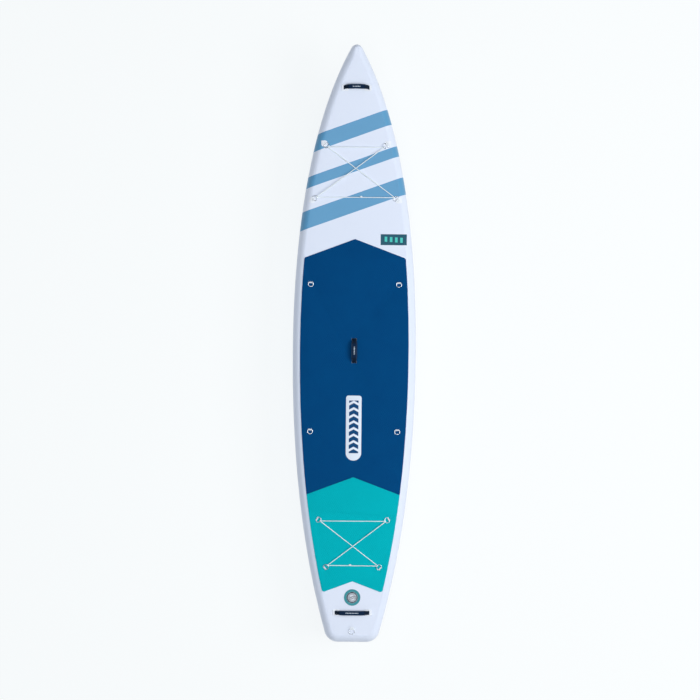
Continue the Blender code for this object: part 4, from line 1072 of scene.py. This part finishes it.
# Inflation valve: a spring plunger in a moulded body, screwed through the deck into a nut, with a
# teal reinforcing ring welded round it and a cap on a rubber tether.
VALVE = (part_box("valve_body")[0][1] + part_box("valve_body")[1][1]) / 2
PATCH_RING = (0.0365, 0.0525)
CAP_RADIUS, CAP_THICKNESS, CAP_SKIRT = 0.027, 0.0030, 0.0045
CAP_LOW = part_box("valve_body")[1][2] + GAP
THROAT = 0.016


def lathe(name, profile, steps=96, closed=True):
    """A round piece: a circle extruded and scaled through (radius, height) steps."""
    deselect()
    radius, height = profile[0]
    bpy.ops.mesh.primitive_circle_add(vertices=steps, radius=radius, location=(0, 0, height))
    piece = bpy.context.object
    piece.name = piece.data.name = name
    bpy.ops.object.transform_apply(location=True)
    bpy.ops.object.mode_set(mode="EDIT")
    bpy.ops.mesh.select_all(action="SELECT")
    run = profile[1:] + (profile[:1] if closed else [])
    for (r0, z0), (r1, z1) in zip(profile, run):
        bpy.ops.mesh.extrude_region_move(TRANSFORM_OT_translate={"value": (0, 0, z1 - z0)})
        bpy.ops.transform.resize(value=(max(r1, 1e-5) / max(r0, 1e-5),) * 2 + (1,),
                                 center_override=(0, 0, z1))
    bpy.ops.object.mode_set(mode="OBJECT")
    edit(piece, lambda: bpy.ops.mesh.remove_doubles(threshold=3e-5), outwards)
    return smooth(piece, 35)


def moulded(name, base, lighter, roughness):
    """Moulded plastic or rubber: fine spark-eroded grain and slight rubbing."""
    look = Look(name, base, roughness)
    rubbed = look.noise(80.0, 4.0).ramp(0.45, 0.75)
    look.set("Base Color", look.blend(rubbed, base, lighter))
    look.set("Roughness", roughness - 0.08 + rubbed * 0.14)
    look.bump(look.noise(1400.0, 2.0), 0.25, 0.0002)
    return look


grey = moulded("grey_moulded", paint(0.60, 0.64, 0.68), paint(0.70, 0.73, 0.77), 0.45)
black_rubber = moulded("tether_rubber", paint(0.055, 0.065, 0.075), paint(0.12, 0.13, 0.14), 0.6)
inner, outer = PATCH_RING
deck = THICKNESS
seat, ring_top, ring_groove = deck + GAP, deck + 0.0018, deck + 0.0014
ring = lathe("valve_reinforcing_ring", [
    (inner, seat), (outer, seat), (outer, deck + 0.0011), (outer - 0.0006, ring_top),
    (outer - 0.003, ring_top), (outer - 0.0035, ring_groove), (inner + 0.003, ring_groove),
    (inner + 0.0025, ring_top), (inner, ring_top)])
ring.data.transform(Matrix.Translation((0, VALVE, 0)))
teal = welded_look("valve_ring_pvc", paint(0.08, 0.545, 0.590))
fit(ring, teal, "hull", "teal_ring", "valve_patch_ring")

BODY_RADIUS, FLANGE_RADIUS, BODY_DEPTH = 0.021, 0.0355, 0.042
LEDGE_RADIUS, STEM_RADIUS = 0.012, 0.0036
flange, groove = CAP_LOW - GAP, CAP_LOW - GAP - 0.0006
ledge_top, ledge_low = deck - 0.015, deck - 0.018
body_low, body_floor = deck - BODY_DEPTH, deck - BODY_DEPTH + 0.003
bore = BODY_RADIUS - 0.004
body = lathe("valve_moulded_body", [
    (FLANGE_RADIUS, seat), (FLANGE_RADIUS, flange - 0.0018),
    (FLANGE_RADIUS - 0.0008, flange - 0.0007), (FLANGE_RADIUS - 0.0024, flange),
    (FLANGE_RADIUS - 0.0052, flange), (FLANGE_RADIUS - 0.0056, groove),
    (FLANGE_RADIUS - 0.0066, groove), (FLANGE_RADIUS - 0.0070, flange),
    (THROAT + 0.0006, flange), (THROAT, groove), (THROAT, ledge_top),
    (LEDGE_RADIUS, ledge_top), (LEDGE_RADIUS, ledge_low), (bore, ledge_low), (bore, body_floor),
    (STEM_RADIUS, body_floor), (STEM_RADIUS, body_low), (BODY_RADIUS, body_low),
    (BODY_RADIUS, seat)])
body.data.transform(Matrix.Translation((0, VALVE, 0)))
deselect()
bpy.ops.mesh.primitive_cylinder_add(vertices=96, radius=BODY_RADIUS + 0.0005, depth=2 * BODY_DEPTH,
                                    location=(0, VALVE, deck))
well = bpy.context.object
apply(hull_skin, "BOOLEAN", object=well, operation="DIFFERENCE", solver="EXACT")
smooth(hull_skin, 60)
bpy.data.objects.remove(well)
# Painted shade: the valve body's grey is darker than its own tone, so that its flange shows as the
# shaded gap between the cap and the teal ring.
flange_shade_grey = moulded("flange_painted_shade", paint(0.33, 0.38, 0.42), paint(0.42, 0.46, 0.50), 0.5)
fit(body, flange_shade_grey, "hull", "grey_plastic", "valve_body")

top = CAP_LOW + CAP_THICKNESS
skirt_low, skirt_in, skirt_out = CAP_LOW - CAP_SKIRT, THROAT - 0.0024, THROAT - 0.0004
cap = lathe("valve_cap_disc", [
    (1e-5, CAP_LOW + 0.001), (skirt_in, CAP_LOW + 0.001), (skirt_in, skirt_low),
    (THROAT - 0.0010, skirt_low), (skirt_out, skirt_low + 0.0008), (skirt_out, CAP_LOW),
    (CAP_RADIUS - 0.0003, CAP_LOW), (CAP_RADIUS, CAP_LOW + 0.0004),
    (CAP_RADIUS, top - 0.0012), (CAP_RADIUS - 0.0003, top - 0.0004), (CAP_RADIUS - 0.001, top),
    (CAP_RADIUS - 0.0034, top), (CAP_RADIUS - 0.0040, top - 0.0007),
    (CAP_RADIUS - 0.0062, top - 0.0007), (CAP_RADIUS - 0.0068, top), (1e-5, top)], closed=False)
BAR_REACH, BAR_WAVE, BAR_HALF_WIDTH, BOSS_CIRCLE = 0.0205, 0.0042, 0.0042, 0.0142
wave = []
for i in range(41):
    s = i / 20 - 1
    wave.append(Vector((BAR_REACH * s, BAR_WAVE * math.sin(math.pi * s), 0)))
bar_outline = []
for sign, run in ((1, wave), (-1, wave[::-1])):
    for i, at in enumerate(run):
        ahead = (run[min(i + 1, 40)] - run[max(i - 1, 0)]).normalized()
        wide = BAR_HALF_WIDTH * math.sqrt(max(1 - (at.x / 0.0206) ** 6, 0.02))
        bar_outline.append((at.x - ahead.y * wide, at.y + ahead.x * wide))
grip_bar = plate("grip_bar", bar_outline, top - 0.0004, top + 0.0040, 0.0012)
bars = [grip_bar]
for i in range(6):
    angle = math.radians(60 * i + 30)
    if abs(math.sin(angle)) < 0.4:
        continue
    spot = (BOSS_CIRCLE * math.cos(angle), BOSS_CIRCLE * math.sin(angle))
    bars.append(plate("cap_boss", arc(spot, 0.0024, 0, 2 * math.pi * 15 / 16, 15),
                      top - 0.0004, top + 0.0007, 0.0003, 2))
pick(cap, *bars)
bpy.ops.object.join()
cap.data.transform(Matrix.Translation((0, VALVE, 0)))
smooth(cap, 35)
cap_look = moulded("cap_moulded", paint(0.74, 0.77, 0.81), paint(0.82, 0.84, 0.88), 0.42)
x, y = cap_look.place("X"), cap_look.place("Y") - VALVE
# Painted shade: the recesses beside the wavy grip bar and the groove round the cap's rim are painted
# dark, on the top of the cap only.
beside = (y - (x * (math.pi / BAR_REACH)).math("SINE") * BAR_WAVE).math("ABSOLUTE")
recess_shade = beside.between(0.0034, 0.0078, 0.0007) * x.between(-0.0215, 0.0215, 0.001)
radius = (x * x + y * y).math("SQRT")
recess_shade = recess_shade + radius.between(CAP_RADIUS - 0.0064, CAP_RADIUS - 0.0038, 0.0004) * (1.0 - recess_shade)
recess_shade = recess_shade * cap_look.place("Z").between(top - 0.0010, top + 0.0100, 0.0002)
shade = cap_look.blend(cap_look.noise(80.0, 4.0), paint(0.74, 0.77, 0.81), paint(0.82, 0.85, 0.89))
cap_look.set("Base Color", cap_look.blend(recess_shade * 0.9, shade, paint(0.22, 0.26, 0.31)))
fit(cap, cap_look, "valve_cap", "grey_plastic", "valve_cap")

TETHER_WIDTH, TETHER_THICKNESS, BARREL_RADIUS = 0.009, 0.0012, 0.0009
COIL_RADIUS, COIL_WIRE, COIL_TURNS = 0.008, 0.0012, 4.5
hinge = JOINTS["valve_tether_swing"]["pos_m"]
near = VALVE + CAP_RADIUS + 0.0006
link = [Vector((0, near + (hinge[1] - 0.001 - near) * i / 8, hinge[2] + 0.0002)) for i in range(9)]
tether = strap("valve_tether_strap", link, TETHER_WIDTH, TETHER_THICKNESS)
barrel = [Vector((x, hinge[1], hinge[2])) for x in (-0.0045, -0.0015, 0.0015, 0.0045)]
pin = tube("tether_barrel", barrel, BARREL_RADIUS, 20)
pick(tether, pin)
bpy.ops.object.join()
fit(tether, black_rubber, "valve_tether", "black_plastic", "valve_tether")
spring_low, spring_high = (corner[2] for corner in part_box("valve_spring"))
coil_rise = spring_high - spring_low - COIL_WIRE
coil = [Vector((COIL_RADIUS * math.cos(a), VALVE + COIL_RADIUS * math.sin(a),
                spring_low + COIL_WIRE / 2 + coil_rise * a / (2 * COIL_TURNS * math.pi)))
        for a in (2 * COIL_TURNS * math.pi * i / 180 for i in range(181))]
spring = tube("valve_coil_spring", coil, COIL_WIRE / 2, 8)
dress(spring, steel)
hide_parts("valve_spring")
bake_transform(spring)


def recolour(look, *nodes):
    """Gives CAD nodes a finish and leaves their meshes as they are."""
    for node in nodes:
        for place in frame["nodes"][node].material_slots:
            place.material = look.material


recolour(grey, "valve_nut", "valve_plunger")


# Fin: a swept nylon blade with a rounded leading edge. Its base slides along a slotted box that is
# glued to the bottom, and a thumb screw in a brass plate holds it there.
FIN_DEPTH, FIN_CHORD, FIN_TIP_CHORD, FIN_SWEEP, FIN_THICKNESS = 0.205, 0.150, 0.052, 0.105, 0.00864
fin_box_low, fin_box_high = (Vector(corner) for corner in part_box("fin_box"))
fin_root = Vector((0, (fin_box_low.y + fin_box_high.y) / 2, fin_box_low.z - 0.0006))


def blade_shape(u, v):
    """A symmetric section whose chord shrinks and sweeps back from root to tip."""
    share = 0.02 + 0.98 * v
    chord = FIN_CHORD + (FIN_TIP_CHORD - FIN_CHORD) * share**1.15
    chord *= math.sqrt(max(1 - share**6, 0.15))
    lead = FIN_CHORD / 2 - FIN_SWEEP * share**1.5 - FIN_TIP_CHORD / 3 * share**10
    side = 1 if u < 0.5 else -1
    at = (1 - math.cos(2 * math.pi * u)) / 2
    thickness = FIN_THICKNESS * (1 - 0.55 * share) * math.sqrt(max(1 - share**24, 0.04))
    half = thickness * 1.5 * (math.sqrt(at) - at) + 0.0003
    return fin_root + Vector((side * half, lead - chord * at, -FIN_DEPTH * share))


fin_blade = edit(grid("fin_blade", 96, 72, blade_shape), merge, fill, outwards)
fin_base = copy_of("fin", "fin_base")
edit(fin_base, lambda: bpy.ops.mesh.bisect(
    plane_co=tuple(fin_root - Vector((0, 0, 0.02 * FIN_DEPTH))), plane_no=(0, 0, 1),
    use_fill=True, clear_inner=True))
bevel_edges(fin_base, 0.0004, 2, lambda middle, line: middle.z > fin_root.z + 0.0002)
fin = join("touring_fin", fin_blade, fin_base)
smooth(fin, 40)
nylon = moulded("fin_nylon", paint(0.045, 0.052, 0.060), paint(0.085, 0.095, 0.105), 0.42)
fit(fin, nylon, "fin", "black_plastic", "fin")
fin_box = copy_of("fin_box", "slotted_fin_box")
bevel_edges(fin_box, 0.0009, 3, lambda middle, line: middle.z < -0.0005)
smooth(fin_box, 35)
box_plastic = moulded("fin_box_plastic", paint(0.835, 0.865, 0.905), paint(0.855, 0.88, 0.92), 0.4)
fit(fin_box, box_plastic, "hull", "white_plastic", "fin_box")
brass = Look("turned_brass", paint(0.80, 0.66, 0.38), 0.3, 1.0)
tarnish = brass.noise(150.0, 4.0)
brass.set("Base Color", brass.blend(tarnish, paint(0.66, 0.52, 0.30), paint(0.84, 0.70, 0.42)))
brass.set("Roughness", 0.22 + tarnish * 0.22)
brass.bump(brass.noise(1200.0, 2.0), 0.2, 0.0002)
recolour(brass, "fin_nut_plate", "fin_screw")
